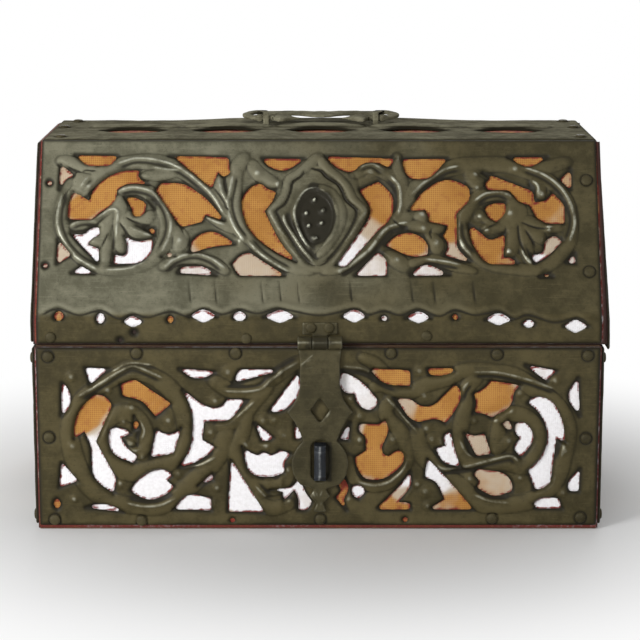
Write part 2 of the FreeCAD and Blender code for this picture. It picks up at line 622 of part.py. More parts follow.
export("lid_front_rim_board", lid_board(0, 2))
export("lid_front_board", lid_board(1, 3))
export("lid_back_rim_board", lid_board(0, 2).mirror(Vector(0, 0, 0), Y))
export("lid_back_board", lid_board(1, 3).mirror(Vector(0, 0, 0), Y))
top_wood = band([wood[2], mirror_y(wood)[2]], [hollow[2], mirror_y(hollow)[2]], -reach, reach)
export("lid_top_board", top_wood.common(between_ends))
lid_core = lid_block(0.0, lid_bottom, 0.0)
end_gap = lid_block(overrun, lid_bottom - overrun, -board)
export("lid_left_board", end_slice(lid_core, end_gap, -1))
export("lid_right_board", end_slice(lid_core, end_gap, 1))

# Cloth of the lid: front and back pieces turn over the fold, the top piece lies between them
covered = profile(cloth)
covered_ends = lid_block(cloth + overrun, lid_bottom - overrun, 0.0)
front_cloth = band(covered, wood, -reach, reach).common(covered_ends)
export("lid_front_cloth", front_cloth)
export("lid_back_cloth", front_cloth.mirror(Vector(0, 0, 0), Y))
top_cloth = band([covered[2], mirror_y(covered)[2]], [wood[2], mirror_y(wood)[2]], -reach, reach)
export("lid_top_cloth", top_cloth.common(covered_ends))
cloth_block = lid_block(cloth, lid_bottom, cloth)
export("lid_left_cloth", end_slice(cloth_block, covered_ends, -1))
export("lid_right_cloth", end_slice(cloth_block, covered_ends, 1))

# Frame of the front slope: its drawing plane lies on the cloth, its foot on the fold
slope_up = Vector(0, slope_setback, slope_rise) * (1 / slope_length)
slope_front = frame(Vector(lid_front_shift, covered[1][0], covered[1][1]), X, slope_up)
slope_back_up = Vector(0, -slope_setback, slope_rise) * (1 / slope_length)
slope_back = frame(Vector(0, -covered[1][0], covered[1][1]), -X, slope_back_up)
slope_square = lid_front_width / slope_squares_shares[0]
slope_row = slope_length / slope_squares_shares[1]


def fold_cutter(x, z, half_across, half_up, lozenge):
    """A lozenge or an oval driven straight through the fold."""
    bow = 0 if lozenge else small_oval_bow
    corners = [
        (x + half_across, z, bow), (x, z + half_up, bow), (x - half_across, z, bow), (x, z - half_up, bow),
    ]
    sized = scaled(corners, slope_square, slope_row)
    face = frame(Vector(lid_front_shift, -core_depth, fold_height), X, Z)
    return placed(prism(outline(sized), top_half_depth - core_depth), face)


# Front sheet of the lid: rim and slope in one, bent at the fold
sheet_foot = lid_bottom + edge_setback
outer = profile(cloth + iron, sheet_foot)
inner = profile(cloth, sheet_foot)
lid_front_left = lid_front_shift - lid_front_width / 2
lid_front_right = lid_front_shift + lid_front_width / 2
lid_front_sheet = band(outer, inner, lid_front_left - lid_left_border, lid_front_right)
rim_front = frame(Vector(lid_front_shift, -cloth_depth, lid_bottom), X, Z)
slope_cuts = cutters(lid_front_opening_shares, slope_square, slope_row, iron)
slope_cuts += holes(squares(slope_hole_shares, slope_square, slope_row))
rim_cuts = holes(squares(rim_hole_shares, slope_square, rim_height))
lid_front_sheet = lid_front_sheet.cut([placed(cut, slope_front) for cut in slope_cuts])
lid_front_sheet = lid_front_sheet.cut([placed(cut, rim_front) for cut in rim_cuts])
lid_front_sheet = lid_front_sheet.cut([fold_cutter(*opening) for opening in fold_opening_shares])


def oval(half_across, half_up, low, high):
    """Oval disc around the boss, on the slope's squared paper, between two heights over the cloth."""
    x, y = shield_boss_share
    corners = [(x + half_across, y, oval_bow), (x, y + half_up, oval_bow),
               (x - half_across, y, oval_bow), (x, y - half_up, oval_bow)]
    disc = prism(outline(scaled(corners, slope_square, slope_row)), high - low)
    return disc.translated(Vector(0, 0, low))


# Embossed shield: a raised field, a ring, and an oval boss set with seeds
shield = prism(outline(scaled(shield_shares, slope_square, slope_row)), iron + shield_rise)
seed_height = iron + shield_rise
ring_height = seed_height + ring_rise
boss_ring = oval(*boss_ring_shares, iron, ring_height)
boss_floor = oval(*boss_dome_shares, seed_height, ring_height)
shield = shield.fuse(boss_ring).cut(boss_floor)
for x, y in seed_shares:
    seed = facets(seed_radius, dome_rise)
    shield = shield.fuse(seed.translated(Vector(x * slope_square, y * slope_row, seed_height)))
lid_front_sheet = lid_front_sheet.fuse(placed(shield, slope_front)).removeSplitter()
export("lid_front_panel", lid_front_sheet)

# Back sheet of the lid: the pair of wide scrolls again, over a plain rim
back_foot = slope_length * plain_band_share
back_height = slope_length - back_foot - scroll_foot
lid_back_sheet = band(mirror_y(outer), mirror_y(inner), -lid_front_width / 2, lid_front_width / 2)
vine = (lid_front_width - 2 * scroll_frame - scroll_rib) / 2
vine_cuts = scroll_cutters(scroll_rib / 2, back_foot, vine, back_height, iron, mirrored=True)
vine_cuts += scroll_cutters(-scroll_rib / 2 - vine, back_foot, vine, back_height, iron)
export("lid_back_panel", lid_back_sheet.cut([placed(cut, slope_back) for cut in vine_cuts]))

# Top sheet with its row of eye-shaped openings
top_edge = -outer[2][0]
top_inner = -inner[2][0]
top_plane = frame(Vector(lid_front_shift, 0, wood_top + cloth), X, Y)
top_sheet = band([outer[2], mirror_y(outer)[2]], [inner[2], mirror_y(inner)[2]],
                 lid_front_left - lid_left_border, lid_front_right + edge_setback)
top_spacing = core_width * top_spacing_share
eye = top_spacing * top_opening_half_share
top_cuts = []
for i in range(top_openings):
    x = (i - (top_openings - 1) / 2) * top_spacing
    corners = [(x - eye, -top_opening_front, top_opening_bow_shares[0]),
               (x + eye, -top_opening_front, top_opening_bow_shares[1])]
    top_cuts += cutters([corners], 1, 1, iron)
export("lid_top_panel", top_sheet.cut([placed(cut, top_plane) for cut in top_cuts]))


def lid_end_sheet(sign, foot):
    """Iron end of the lid, pierced with a pair of scrolls under an eye."""
    block = lid_block(cloth, foot, cloth + iron)
    inner_block = lid_block(cloth + overrun, foot - overrun, cloth)
    sheet = end_slice(block, inner_block, sign)
    width = half_depth * lid_end_scroll_shares[0] - scroll_frame
    height = slope_rise * lid_end_scroll_shares[1]
    thick = cloth + iron + right_lean
    start = scroll_rib / 2
    shapes = scroll_cutters(start, rim_height, width, height, thick, mirrored=True)
    shapes += scroll_cutters(-start - width, rim_height, width, height, thick)
    eye_half = top_half_depth * lid_end_eye_share
    eye_row = rim_height + height + scroll_frame
    shapes += cutters([[(-eye_half, eye_row, lid_end_eye_bow_shares[0]),
                        (eye_half, eye_row, lid_end_eye_bow_shares[1])]], 1, 1, thick)
    plane = frame(Vector(sign * half_width, 0, lid_bottom), Y * sign, Z)
    return sheet.cut([placed(shape, plane) for shape in shapes])


export("lid_left_panel", lid_end_sheet(-1, sheet_foot))
export("lid_right_panel", lid_end_sheet(1, wall_height - right_overhang))

# Nails of the lid
rim_back = frame(Vector(0, cloth_depth, lid_bottom), -X, Z)
rim_places = squares(rim_nail_shares, slope_square, rim_height)


def end_nails(ends, rows, row):
    """Places at the same distance from the ends of a lid sheet, left -1 and right 1."""
    return [(end * (lid_front_width / 2 - end_nail_inset), y * row) for end in ends for y in rows]


front_slope_places = end_nails([1], slope_end_nail_shares, slope_row)
back_slope_places = end_nails([-1, 1], slope_end_nail_shares, slope_row)
front_rim_places = rim_places + end_nails([-1], rim_end_nail_shares, rim_height)
back_rim_places = rim_places + end_nails([-1, 1], rim_end_nail_shares, rim_height)
front_lid_nails = nails(front_slope_places, on_sheet(slope_front))
front_lid_nails += nails(front_rim_places, on_sheet(rim_front))
back_lid_nails = nails(back_slope_places, on_sheet(slope_back))
back_lid_nails += nails(back_rim_places, on_sheet(rim_back))
export("lid_front_nails", group(front_lid_nails))
export("lid_back_nails", group(back_lid_nails))
top_places = squares(top_nail_shares, lid_front_width, 2 * top_half_depth)
export("lid_top_nails", group(nails(top_places, on_sheet(top_plane))))
lid_end_places = squares(lid_end_nail_shares, 2 * half_depth, slope_rise + rim_height)


def lid_end_nails(sign, lean):
    """Nails of one end of the lid, square to its leaning sheet."""
    height = wood_top - lid_bottom
    up = Vector(-sign * lean, 0, height) * (1 / math.hypot(lean, height))
    right = Y if sign > 0 else -Y
    plane = frame(Vector(sign * (half_width + lean + cloth), 0, lid_bottom), right, up)
    return nails(lid_end_places, on_sheet(plane))


export("lid_left_nails", group(lid_end_nails(-1, left_lean)))
export("lid_right_nails", group(lid_end_nails(1, right_lean)))


def rod(x0, x1, radius, y, z):
    """Round bar along X."""
    return Part.makeCylinder(radius, x1 - x0, Vector(x0, y, z), X)


def tube(x0, x1, radius, bore, y, z):
    """Knuckle along X."""
    return rod(x0, x1, radius, y, z).cut(rod(x0, x1, bore, y, z))


# Hasp: outer knuckles, strap, lozenge, slotted disc and leaf tip, in one forging
hasp_back = front_face + hasp_stand_off
hasp_y = -hasp_back - barrel_radius
hasp_z = wall_height + barrel_height
hasp_length = hasp_z - hasp_foot
hasp_bore = barrel_pin_radius + running_gap
barrel_left = hasp_centre - barrel_length / 2
barrel_right = hasp_centre + barrel_length / 2
knuckle_left = hasp_centre - middle_knuckle / 2
knuckle_right = hasp_centre + middle_knuckle / 2
half_hasp = hasp_width / 2
lozenge_z = -hasp_length * lozenge_place_share
lozenge = symmetrical([
    (overrun / 2, lozenge_z + hasp_length * lozenge_share[1], 0),
    (half_hasp * lozenge_share[0], lozenge_z, 0),
    (overrun / 2, lozenge_z - hasp_length * lozenge_share[1], 0),
])
slot_round = slot_width / 2
slot_foot = slot_rise - hasp_length
slot = symmetrical([
    (slot_round, slot_foot + slot_height - slot_round, 0), (slot_round, slot_foot + slot_round, 1),
], 1)
edge = [(x * half_hasp, z * hasp_length, bow) for x, z, bow in hasp_edge_shares]
strap = prism(symmetrical(edge), hasp_thickness)
strap = strap.cut([prism(lozenge, hasp_thickness), prism(slot, hasp_thickness)])
strap = placed(strap, frame(Vector(hasp_centre, -hasp_back, hasp_z), X, Z))
room_left = knuckle_left - knuckle_gap
room_right = knuckle_right + knuckle_gap
strap = strap.cut([
    rod(room_left, room_right, barrel_radius + knuckle_gap, hasp_y, hasp_z),
    rod(barrel_left, barrel_right, hasp_bore, hasp_y, hasp_z),
])
hasp = strap.fuse([
    tube(barrel_left, room_left, barrel_radius, hasp_bore, hasp_y, hasp_z),
    tube(room_right, barrel_right, barrel_radius, hasp_bore, hasp_y, hasp_z),
])
export("hasp", hasp.removeSplitter())

# Leaf that holds the middle knuckle, riveted to the rim, and the barrel pin
leaf_foot = hasp_z + barrel_radius + knuckle_gap
leaf_face = -front_face - leaf_thickness
leaf_left = hasp_centre - leaf_width / 2
leaf_right = hasp_centre + leaf_width / 2
leaf = box(leaf_left, leaf_right, leaf_face, -front_face, leaf_foot, fold_height)
tongue = box(knuckle_left, knuckle_right, leaf_face, -front_face, hasp_z, leaf_foot)
pin = rod(barrel_left, barrel_right, barrel_pin_radius, hasp_y, hasp_z)
leaf = leaf.fuse([tongue, rod(knuckle_left, knuckle_right, barrel_radius, hasp_y, hasp_z)]).cut(pin)
export("hasp_leaf", leaf.removeSplitter())
export("hasp_pin", pin)
rivet_plane = frame(Vector(hasp_centre, leaf_face, fold_height - leaf_rivet_drop), X, Z)
rivet_places = [(-leaf_rivet_spread, 0.0), (leaf_rivet_spread, 0.0)]
export("hasp_leaf_rivets", group(nails(rivet_places, rivet_plane)))

# Staple driven through the front of the box
staple_top = hasp_foot + slot_rise + slot_height - staple_top_gap
staple_foot = hasp_foot + slot_rise + staple_foot_gap
staple_left = hasp_centre - staple_width / 2
staple_right = hasp_centre + staple_width / 2
staple_face = -front_face - staple_reach
staple_root = nail_length - front_face
loop = [
    (staple_root, staple_foot), (staple_root, staple_top),
    (staple_face + staple_bar, staple_top), (staple_face, staple_top - staple_bar),
    (staple_face, staple_foot + staple_bar), (staple_face + staple_bar, staple_foot),
]
staple = Part.Face(Part.makePolygon([Vector(staple_left, y, z) for y, z in loop + loop[:1]]))
staple = staple.extrude(Vector(staple_width, 0, 0))
padlock_eye = box(staple_left, staple_right, staple_face + staple_bar, staple_root,
                  staple_foot + staple_bar, staple_top - staple_bar)
export("hasp_staple", staple.cut(padlock_eye))

# Back hinges: the strap on the box carries the two outer knuckles with the pin riveted into them,
# and the lid's leaf the middle knuckle that turns on the pin
hinge_spread = core_width * hinge_place_share
hinge_y = front_face + hinge_seat_gap + hinge_radius
hinge_z = wall_height + lid_gap / 2
hinge_bore = hinge_pin_radius + running_gap
strap_face = front_face + leaf_thickness
hinge_leaf_foot = hinge_radius + knuckle_gap


def hinge(x):
    """Body strap with its pin, and lid leaf, of one hinge whose middle is at x."""
    left = x - hinge_width / 2
    right = x + hinge_width / 2
    middle_left = x - hinge_middle_knuckle / 2
    middle_right = x + hinge_middle_knuckle / 2
    gap_left = middle_left - knuckle_gap
    gap_right = middle_right + knuckle_gap
    edge = [(a * hinge_width, b * hinge_strap, bow) for a, b, bow in strap_edge_shares]
    face = frame(Vector(x, front_face, hinge_z), -X, Z)
    strap = placed(prism(symmetrical(edge), leaf_thickness), face)
    notch = box(gap_left, gap_right, front_face, strap_face, hinge_z - hinge_leaf_foot, hinge_z)
    strap = strap.cut(notch).fuse([
        rod(left, gap_left, hinge_radius, hinge_y, hinge_z),
        rod(gap_right, right, hinge_radius, hinge_y, hinge_z),
        rod(gap_left, gap_right, hinge_pin_radius, hinge_y, hinge_z),
    ])
    leaf = rod(middle_left, middle_right, hinge_radius, hinge_y, hinge_z).fuse([
        box(middle_left, middle_right, front_face, strap_face, hinge_z, hinge_z + hinge_leaf_foot),
        box(left, right, front_face, strap_face, hinge_z + hinge_leaf_foot, hinge_z + hinge_leaf_rise),
    ])
    leaf = leaf.cut(rod(middle_left, middle_right, hinge_bore, hinge_y, hinge_z))
    return strap.removeSplitter(), leaf.removeSplitter()


straps = []
leaves = []
strap_rivets = []
leaf_rivets = []
for x in (-hinge_spread, hinge_spread):
    strap, leaf = hinge(x)
    straps.append(strap)
    leaves.append(leaf)
    face = frame(Vector(x, strap_face, hinge_z), -X, Z)
    strap_rivets += nails(squares(strap_rivet_shares, hinge_width, hinge_strap), face)
    leaf_rivets += nails(squares(leaf_rivet_shares, hinge_width, hinge_leaf_rise), face)
export("hinge_straps", group(straps))
export("hinge_leaves", group(leaves))
export("hinge_strap_rivets", group(strap_rivets))
export("hinge_leaf_rivets", group(leaf_rivets))

# Handle: a flat bail, stiff in its eyes and a little lifted at the back; its ends turn in
# through two eyes, swell like a leaf and taper to points
half_bar = handle_bar / 2
journal_outer = handle_half_width * journal_place_share
eye_place = handle_half_width * eye_place_share
leaf_root = handle_half_width * leaf_root_share
leaf_place = handle_half_width * leaf_place_share
tip_place = handle_half_width * tip_place_share


def bail_wire(inset):
    """Edge of the bail in plan, drawn in from its outer edge."""
    width = handle_half_width - inset
    depth = handle_depth + half_bar - 2 * inset
    edge = [(x * width, y * depth - half_bar + inset, bow) for x, y, bow in bail_edge_shares]
    return symmetrical(edge, bail_back_bow)


bail = prism(bail_wire(0.0), handle_thickness).cut(prism(bail_wire(handle_bar), handle_thickness))
bail.translate(Vector(0, 0, -handle_thickness / 2))
bail = bail.cut(box(-journal_outer, journal_outer, -handle_bar, handle_bar, -handle_bar, handle_bar))
for turn in (-1, 1):
    start = Vector(journal_outer * turn, 0, 0)
    journal = Part.makeCylinder(journal_radius, journal_outer - leaf_root, start, X * -turn)
    corners = [
        (-leaf_root, journal_radius, 0), (-leaf_root, -journal_radius, 0),
        (-leaf_place, -leaf_half_width, 0), (-tip_place, -tip_half_width, 0),
        (-tip_place, tip_half_width, 0), (-leaf_place, leaf_half_width, 0),
    ]
    leaf = prism(outline(scaled(corners, -turn, 1)), leaf_flat)
    bail = bail.fuse([journal, leaf.translated(Vector(0, 0, -leaf_flat / 2))])
bail.rotate(Vector(0, 0, 0), X, handle_lift)
handle_z = iron_top + handle_axis_height
bail = bail.removeSplitter()
bail.translate(Vector(handle_centre, handle_axis_back, handle_z))
export("handle", bail)

# Eyes of the handle: two wire staples clenched through the top
eye_bore = journal_radius + journal_gap
eye_radius = eye_bore + eye_wire
eyes = []
axis_y = handle_axis_back
eye_foot = iron_top - nail_length
for x in (handle_centre - eye_place, handle_centre + eye_place):
    start = x - eye_length / 2
    end = x + eye_length / 2
    ring = rod(start, end, eye_radius, axis_y, handle_z)
    legs = box(start, end, axis_y - eye_radius, axis_y + eye_radius, eye_foot, handle_z)
    slit = box(start, end, axis_y - eye_bore, axis_y + eye_bore, eye_foot, handle_z)
    bore = rod(start, end, eye_bore, axis_y, handle_z)
    eyes.append(ring.fuse(legs).cut([bore, slit]).removeSplitter())
export("handle_eyes", group(eyes))
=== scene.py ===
import math

import bmesh
import bpy
import numpy as np
from mathutils import Matrix, Vector, kdtree, noise
from mathutils.bvhtree import BVHTree


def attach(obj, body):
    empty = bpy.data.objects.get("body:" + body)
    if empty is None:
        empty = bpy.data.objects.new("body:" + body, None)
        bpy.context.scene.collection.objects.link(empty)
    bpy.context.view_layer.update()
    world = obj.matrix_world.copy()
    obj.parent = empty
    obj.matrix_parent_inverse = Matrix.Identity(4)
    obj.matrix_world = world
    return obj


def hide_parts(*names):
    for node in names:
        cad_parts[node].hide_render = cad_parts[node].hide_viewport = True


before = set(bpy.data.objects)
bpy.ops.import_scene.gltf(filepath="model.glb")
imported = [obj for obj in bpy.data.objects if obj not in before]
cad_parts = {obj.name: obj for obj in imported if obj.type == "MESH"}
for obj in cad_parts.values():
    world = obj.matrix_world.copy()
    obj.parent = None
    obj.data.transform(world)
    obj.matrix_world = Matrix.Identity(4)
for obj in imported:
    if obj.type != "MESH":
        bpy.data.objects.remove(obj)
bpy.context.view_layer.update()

# All lengths are in metres, and the tables' places are in squares of a panel's own drawing.
MM = 0.001
IRON = 1.2 * MM
NAIL_HEAD = 1.3 * MM
THREAD_PITCH = 0.9 * MM
FOLD = 91.4 * MM
THINNED_SHARE = 0.95
COARSER = 1.0



# Node groups and materials

def linked(tree, socket, value):
    """Plugs a socket, or sets a plain value."""
    if isinstance(value, bpy.types.NodeSocket):
        tree.links.new(value, socket)
    else:
        socket.default_value = value


def math_node(tree, operation, a, b=0.0, clamp=False):
    """One sum of two values."""
    node = tree.nodes.new("ShaderNodeMath")
    node.operation = operation
    node.use_clamp = clamp
    linked(tree, node.inputs[0], a)
    linked(tree, node.inputs[1], b)
    return node.outputs[0]


def ranged(tree, value, low, high, to_low=0.0, to_high=1.0):
    """A value stretched smoothly from one range to another."""
    node = tree.nodes.new("ShaderNodeMapRange")
    node.interpolation_type = "SMOOTHSTEP"
    linked(tree, node.inputs["Value"], value)
    node.inputs["From Min"].default_value = low
    node.inputs["From Max"].default_value = high
    node.inputs["To Min"].default_value = to_low
    node.inputs["To Max"].default_value = to_high
    return node.outputs["Result"]


def weighted(tree, *parts):
    """The sum of some values, each times its own share."""
    total = 0.0
    for value, share in parts:
        total = math_node(tree, "ADD", math_node(tree, "MULTIPLY", value, share), total)
    return total


def mixed(tree, factor, a, b):
    """Two colours mixed by a mask."""
    node = tree.nodes.new("ShaderNodeMix")
    node.data_type = "RGBA"
    linked(tree, node.inputs["Factor"], factor)
    linked(tree, node.inputs["A"], a)
    linked(tree, node.inputs["B"], b)
    return node.outputs["Result"]


def cloudy(tree, vector, scale, detail=3.0, rough=0.55):
    """Soft noise over the surface."""
    node = tree.nodes.new("ShaderNodeTexNoise")
    linked(tree, node.inputs["Vector"], vector)
    node.inputs["Scale"].default_value = scale
    node.inputs["Detail"].default_value = detail
    node.inputs["Roughness"].default_value = rough
    return node.outputs["Fac"]


def stretched(tree, vector, scales):
    """A place scaled along each axis, so that noise on it runs in streaks."""
    node = tree.nodes.new("ShaderNodeMapping")
    node.inputs["Scale"].default_value = scales
    tree.links.new(vector, node.inputs["Vector"])
    return node.outputs["Vector"]


def painted(tree, name):
    """A value that the piece's own mesh carries."""
    node = tree.nodes.new("ShaderNodeAttribute")
    node.attribute_name = name
    return node.outputs["Fac"]


def object_place(tree):
    """The place on the object, in metres."""
    return tree.nodes.new("ShaderNodeTexCoord").outputs["Object"]


def group(name, inputs, outputs):
    """An empty node group with named sockets; returns it with its way in and its way out."""
    tree = bpy.data.node_groups.new(name, "ShaderNodeTree")
    for label, kind in inputs:
        tree.interface.new_socket(label, in_out="INPUT", socket_type=kind)
    for label, kind in outputs:
        tree.interface.new_socket(label, in_out="OUTPUT", socket_type=kind)
    return tree, tree.nodes.new("NodeGroupInput"), tree.nodes.new("NodeGroupOutput")


def placed_group(tree, source, values):
    """A node group in a material, with its own values."""
    node = tree.nodes.new("ShaderNodeGroup")
    node.node_tree = source
    for label, value in values.items():
        linked(tree, node.inputs[label], value)
    return node


def forged_surface_group():
    """Mottled scale, pits and hammer dents of wrought iron; where its raised edges are rubbed bright and
    carry painted highlights; and where dark grime and painted shade lie in its hollows and low places.
    """
    tree, inside, out = group(
        "forged_surface",
        [("Vector", "NodeSocketVector"), ("WearAndHighlight", "NodeSocketFloat"), ("Relief", "NodeSocketFloat")],
        [("Mottle", "NodeSocketFloat"), ("RubbedAndHighlight", "NodeSocketFloat"), ("GrimeAndShade", "NodeSocketFloat"),
         ("Height", "NodeSocketFloat"), ("Roughness", "NodeSocketFloat")],
    )
    vector = inside.outputs["Vector"]
    broad = cloudy(tree, vector, 38.0, 4.0, 0.6)
    patch = cloudy(tree, vector, 170.0, 6.0, 0.74)
    grain = cloudy(tree, vector, 1300.0, 3.0, 0.6)
    dents = cloudy(tree, vector, 260.0, 1.0, 0.4)
    # Raised parts mottle lighter and low parts darker: painted light and shade that follow the relief.
    raised = math_node(tree, "SUBTRACT", inside.outputs["Relief"], 0.5)
    brushed = cloudy(tree, stretched(tree, vector, (90.0, 500.0, 1500.0)), 1.0, 2.0, 0.6)
    scratch = ranged(tree, brushed, 0.56, 0.72, 0.0, 0.08)
    mottle = weighted(tree, (patch, 0.55), (broad, 0.45), (raised, 0.34), (scratch, 1.0))
    tree.links.new(ranged(tree, mottle, 0.38, 0.66), out.inputs["Mottle"])
    # One mask for edges rubbed bright and for painted highlights.
    worn = ranged(tree, inside.outputs["WearAndHighlight"], 0.56, 1.0)
    patchy = ranged(tree, patch, 0.36, 0.62, 0.12, 1.0)
    shine = math_node(tree, "MULTIPLY", worn, patchy)
    tree.links.new(shine, out.inputs["RubbedAndHighlight"])
    # Painted shade in creases and low places, with dark grime there too.
    hollow = ranged(tree, inside.outputs["WearAndHighlight"], 0.10, 0.44, 0.85, 0.0)
    low = ranged(tree, inside.outputs["Relief"], 0.0, 0.44, 0.92, 0.0)
    grime_and_shade = math_node(tree, "MAXIMUM", hollow, low)
    pits = ranged(tree, grain, 0.60, 0.72, 0.0, 0.4)
    tree.links.new(math_node(tree, "MAXIMUM", grime_and_shade, pits), out.inputs["GrimeAndShade"])
    tree.links.new(weighted(tree, (dents, 0.6), (grain, 0.14), (patch, 0.3)), out.inputs["Height"])
    rough = weighted(tree, (ranged(tree, patch, 0.3, 0.7, 0.44, 0.62), 1.0), (shine, -0.12))
    tree.links.new(rough, out.inputs["Roughness"])
    return tree


def material(name):
    """A new material, its node tree and its shader."""
    made = bpy.data.materials.new(name)
    made.use_nodes = True
    return made, made.node_tree, made.node_tree.nodes["Principled BSDF"]


def bumped(tree, shader, height, distance, strength):
    """Fine relief on a material, by a height that its pattern gives."""
    node = tree.nodes.new("ShaderNodeBump")
    node.inputs["Strength"].default_value = strength
    node.inputs["Distance"].default_value = distance
    tree.links.new(height, node.inputs["Height"])
    tree.links.new(node.outputs["Normal"], shader.inputs["Normal"])


def iron_material(name, dark, light, edge, metallic=0.12, pale=None, gloss=0.14, dull=0.0):
    """Old wrought iron in its own tone: dark scale, lighter mottling, rubbed edges with painted highlights,
    and dark grime with painted shade in its hollows.

    A paler patina, a second pair of tones, lies where the piece's own "pale" value says; where that value
    fades along a sheet, the fade is painted light.
    """
    made, tree, shader = material(name)
    surface = placed_group(tree, FORGED, {
        "Vector": object_place(tree), "WearAndHighlight": painted(tree, "wear_and_highlight"), "Relief": painted(tree, "relief"),
    })
    color = mixed(tree, surface.outputs["Mottle"], dark, light)
    if pale:
        color = mixed(tree, painted(tree, "pale"), color, mixed(tree, surface.outputs["Mottle"], *pale))
    # Dark grime and painted shade in hollows, then rubbed edges and painted highlights in the edge colour,
    # which are also more metallic.
    color = mixed(tree, surface.outputs["GrimeAndShade"], color, GRIME_AND_SHADE)
    color = mixed(tree, surface.outputs["RubbedAndHighlight"], color, edge)
    tree.links.new(color, shader.inputs["Base Color"])
    rough = math_node(tree, "ADD", surface.outputs["Roughness"], dull, True)
    tree.links.new(rough, shader.inputs["Roughness"])
    bare = weighted(tree, (surface.outputs["RubbedAndHighlight"], 0.6), (metallic, 1.0))
    tree.links.new(bare, shader.inputs["Metallic"])
    shader.inputs["Specular IOR Level"].default_value = gloss
    bumped(tree, shader, surface.outputs["Height"], 0.0004, 0.5)
    return made


def wood_material():
    """Bare, darkened board: long grain along X with finer pores."""
    made, tree, shader = material("old_board")
    along = stretched(tree, object_place(tree), (6.0, 60.0, 60.0))
    grain = cloudy(tree, along, 2.2, 6.0, 0.65)
    pores = cloudy(tree, along, 14.0, 3.0, 0.6)
    streaks = ranged(tree, grain, 0.35, 0.65)
    color = mixed(tree, streaks, (0.105, 0.052, 0.022, 1.0), (0.21, 0.118, 0.056, 1.0))
    color = mixed(tree, ranged(tree, pores, 0.56, 0.7, 0.0, 0.7), color, (0.05, 0.024, 0.011, 1.0))
    tree.links.new(color, shader.inputs["Base Color"])
    shader.inputs["Roughness"].default_value = 0.72
    bumped(tree, shader, math_node(tree, "ADD", grain, pores), 0.0003, 0.5)
    return made


def weave_group():
    """A plain weave on the sheet's own flat map, whose unit is a metre."""
    tree, inside, out = group(
        "plain_weave",
        [("Vector", "NodeSocketVector"), ("Pitch", "NodeSocketFloat")],
        [("Height", "NodeSocketFloat"), ("Gaps", "NodeSocketFloat")],
    )
    split = tree.nodes.new("ShaderNodeSeparateXYZ")
    tree.links.new(inside.outputs["Vector"], split.inputs[0])
    turn = math_node(tree, "DIVIDE", math.pi, inside.outputs["Pitch"])
    thread = []
    for axis in ("X", "Y"):
        wave = math_node(tree, "SINE", math_node(tree, "MULTIPLY", split.outputs[axis], turn))
        thread.append(math_node(tree, "ABSOLUTE", wave))
    height = math_node(tree, "MULTIPLY", math_node(tree, "ADD", *thread), 0.5)
    tree.links.new(height, out.inputs["Height"])
    tree.links.new(ranged(tree, height, 0.15, 0.75, 1.0, 0.0), out.inputs["Gaps"])
    return tree


def cloth_material():
    """Orange cloth with a reddish weave, worn white in patches and red beside the iron."""
    made, tree, shader = material("glued_cloth")
    uv = tree.nodes.new("ShaderNodeUVMap")
    uv.uv_map = "flat"
    weave = placed_group(tree, WEAVE, {"Vector": uv.outputs["UV"], "Pitch": THREAD_PITCH})
    place = object_place(tree)
    blotch = cloudy(tree, place, 55.0, 3.0, 0.6)
    fine = cloudy(tree, place, 700.0, 2.0, 0.5)
    patches = ranged(tree, blotch, 0.35, 0.65)
    orange = mixed(tree, patches, (0.40, 0.185, 0.034, 1.0), (0.49, 0.245, 0.055, 1.0))
    gaps = math_node(tree, "MULTIPLY", weave.outputs["Gaps"], 0.75)
    orange = mixed(tree, gaps, orange, (0.25, 0.070, 0.012, 1.0))
    white = mixed(tree, ranged(tree, fine, 0.3, 0.7), (0.84, 0.82, 0.83, 1.0), (0.92, 0.905, 0.92, 1.0))
    faded = mixed(tree, blotch, (0.46, 0.33, 0.22, 1.0), (0.56, 0.49, 0.38, 1.0))
    worn = painted(tree, "worn")
    color = mixed(tree, ranged(tree, worn, 0.05, 0.42), orange, faded)
    color = mixed(tree, ranged(tree, worn, 0.42, 0.85), color, white)
    red = mixed(tree, blotch, (0.13, 0.010, 0.010, 1.0), (0.27, 0.035, 0.02, 1.0))
    drift = ranged(tree, cloudy(tree, place, 330.0, 2.0, 0.5), 0.3, 0.7, -0.35, 0.35)
    rim = ranged(tree, math_node(tree, "ADD", painted(tree, "red_rim"), drift), 0.05, 1.0)
    rim = math_node(tree, "MULTIPLY", rim, ranged(tree, fine, 0.2, 0.55, 0.75, 1.0))
    color = mixed(tree, rim, color, red)
    color = mixed(tree, painted(tree, "soil"), color, (0.020, 0.011, 0.007, 1.0))
    tree.links.new(color, shader.inputs["Base Color"])
    shader.inputs["Roughness"].default_value = 0.92
    bumped(tree, shader, weave.outputs["Height"], 0.00012, 0.7)
    return made


FORGED = forged_surface_group()
WEAVE = weave_group()
# The dark tone of grime, also used as painted shade in hollows.
GRIME_AND_SHADE = (0.014, 0.012, 0.007, 1.0)
BROWN_IRON = ((0.040, 0.0325, 0.0130, 1.0), (0.083, 0.067, 0.0290, 1.0))
GREY_IRON = ((0.090, 0.086, 0.055, 1.0), (0.180, 0.172, 0.118, 1.0))
BODY_IRON = iron_material("body_iron", *BROWN_IRON, (0.22, 0.21, 0.155, 1.0))
LID_IRON = iron_material("lid_iron", *BROWN_IRON, (0.34, 0.34, 0.27, 1.0), pale=GREY_IRON)
TOP_IRON = iron_material(
    "top_iron", (0.095, 0.087, 0.055, 1.0), (0.26, 0.245, 0.165, 1.0), (0.36, 0.34, 0.25, 1.0), 0.0,
    gloss=0.03, dull=0.45)
FORGED_IRON = iron_material(
    "forged_iron", (0.034, 0.029, 0.013, 1.0), (0.072, 0.061, 0.030, 1.0), (0.24, 0.23, 0.17, 1.0))
NAIL_IRON = iron_material(
    "nail_iron", (0.034, 0.028, 0.012, 1.0), (0.074, 0.062, 0.030, 1.0), (0.18, 0.17, 0.125, 1.0))
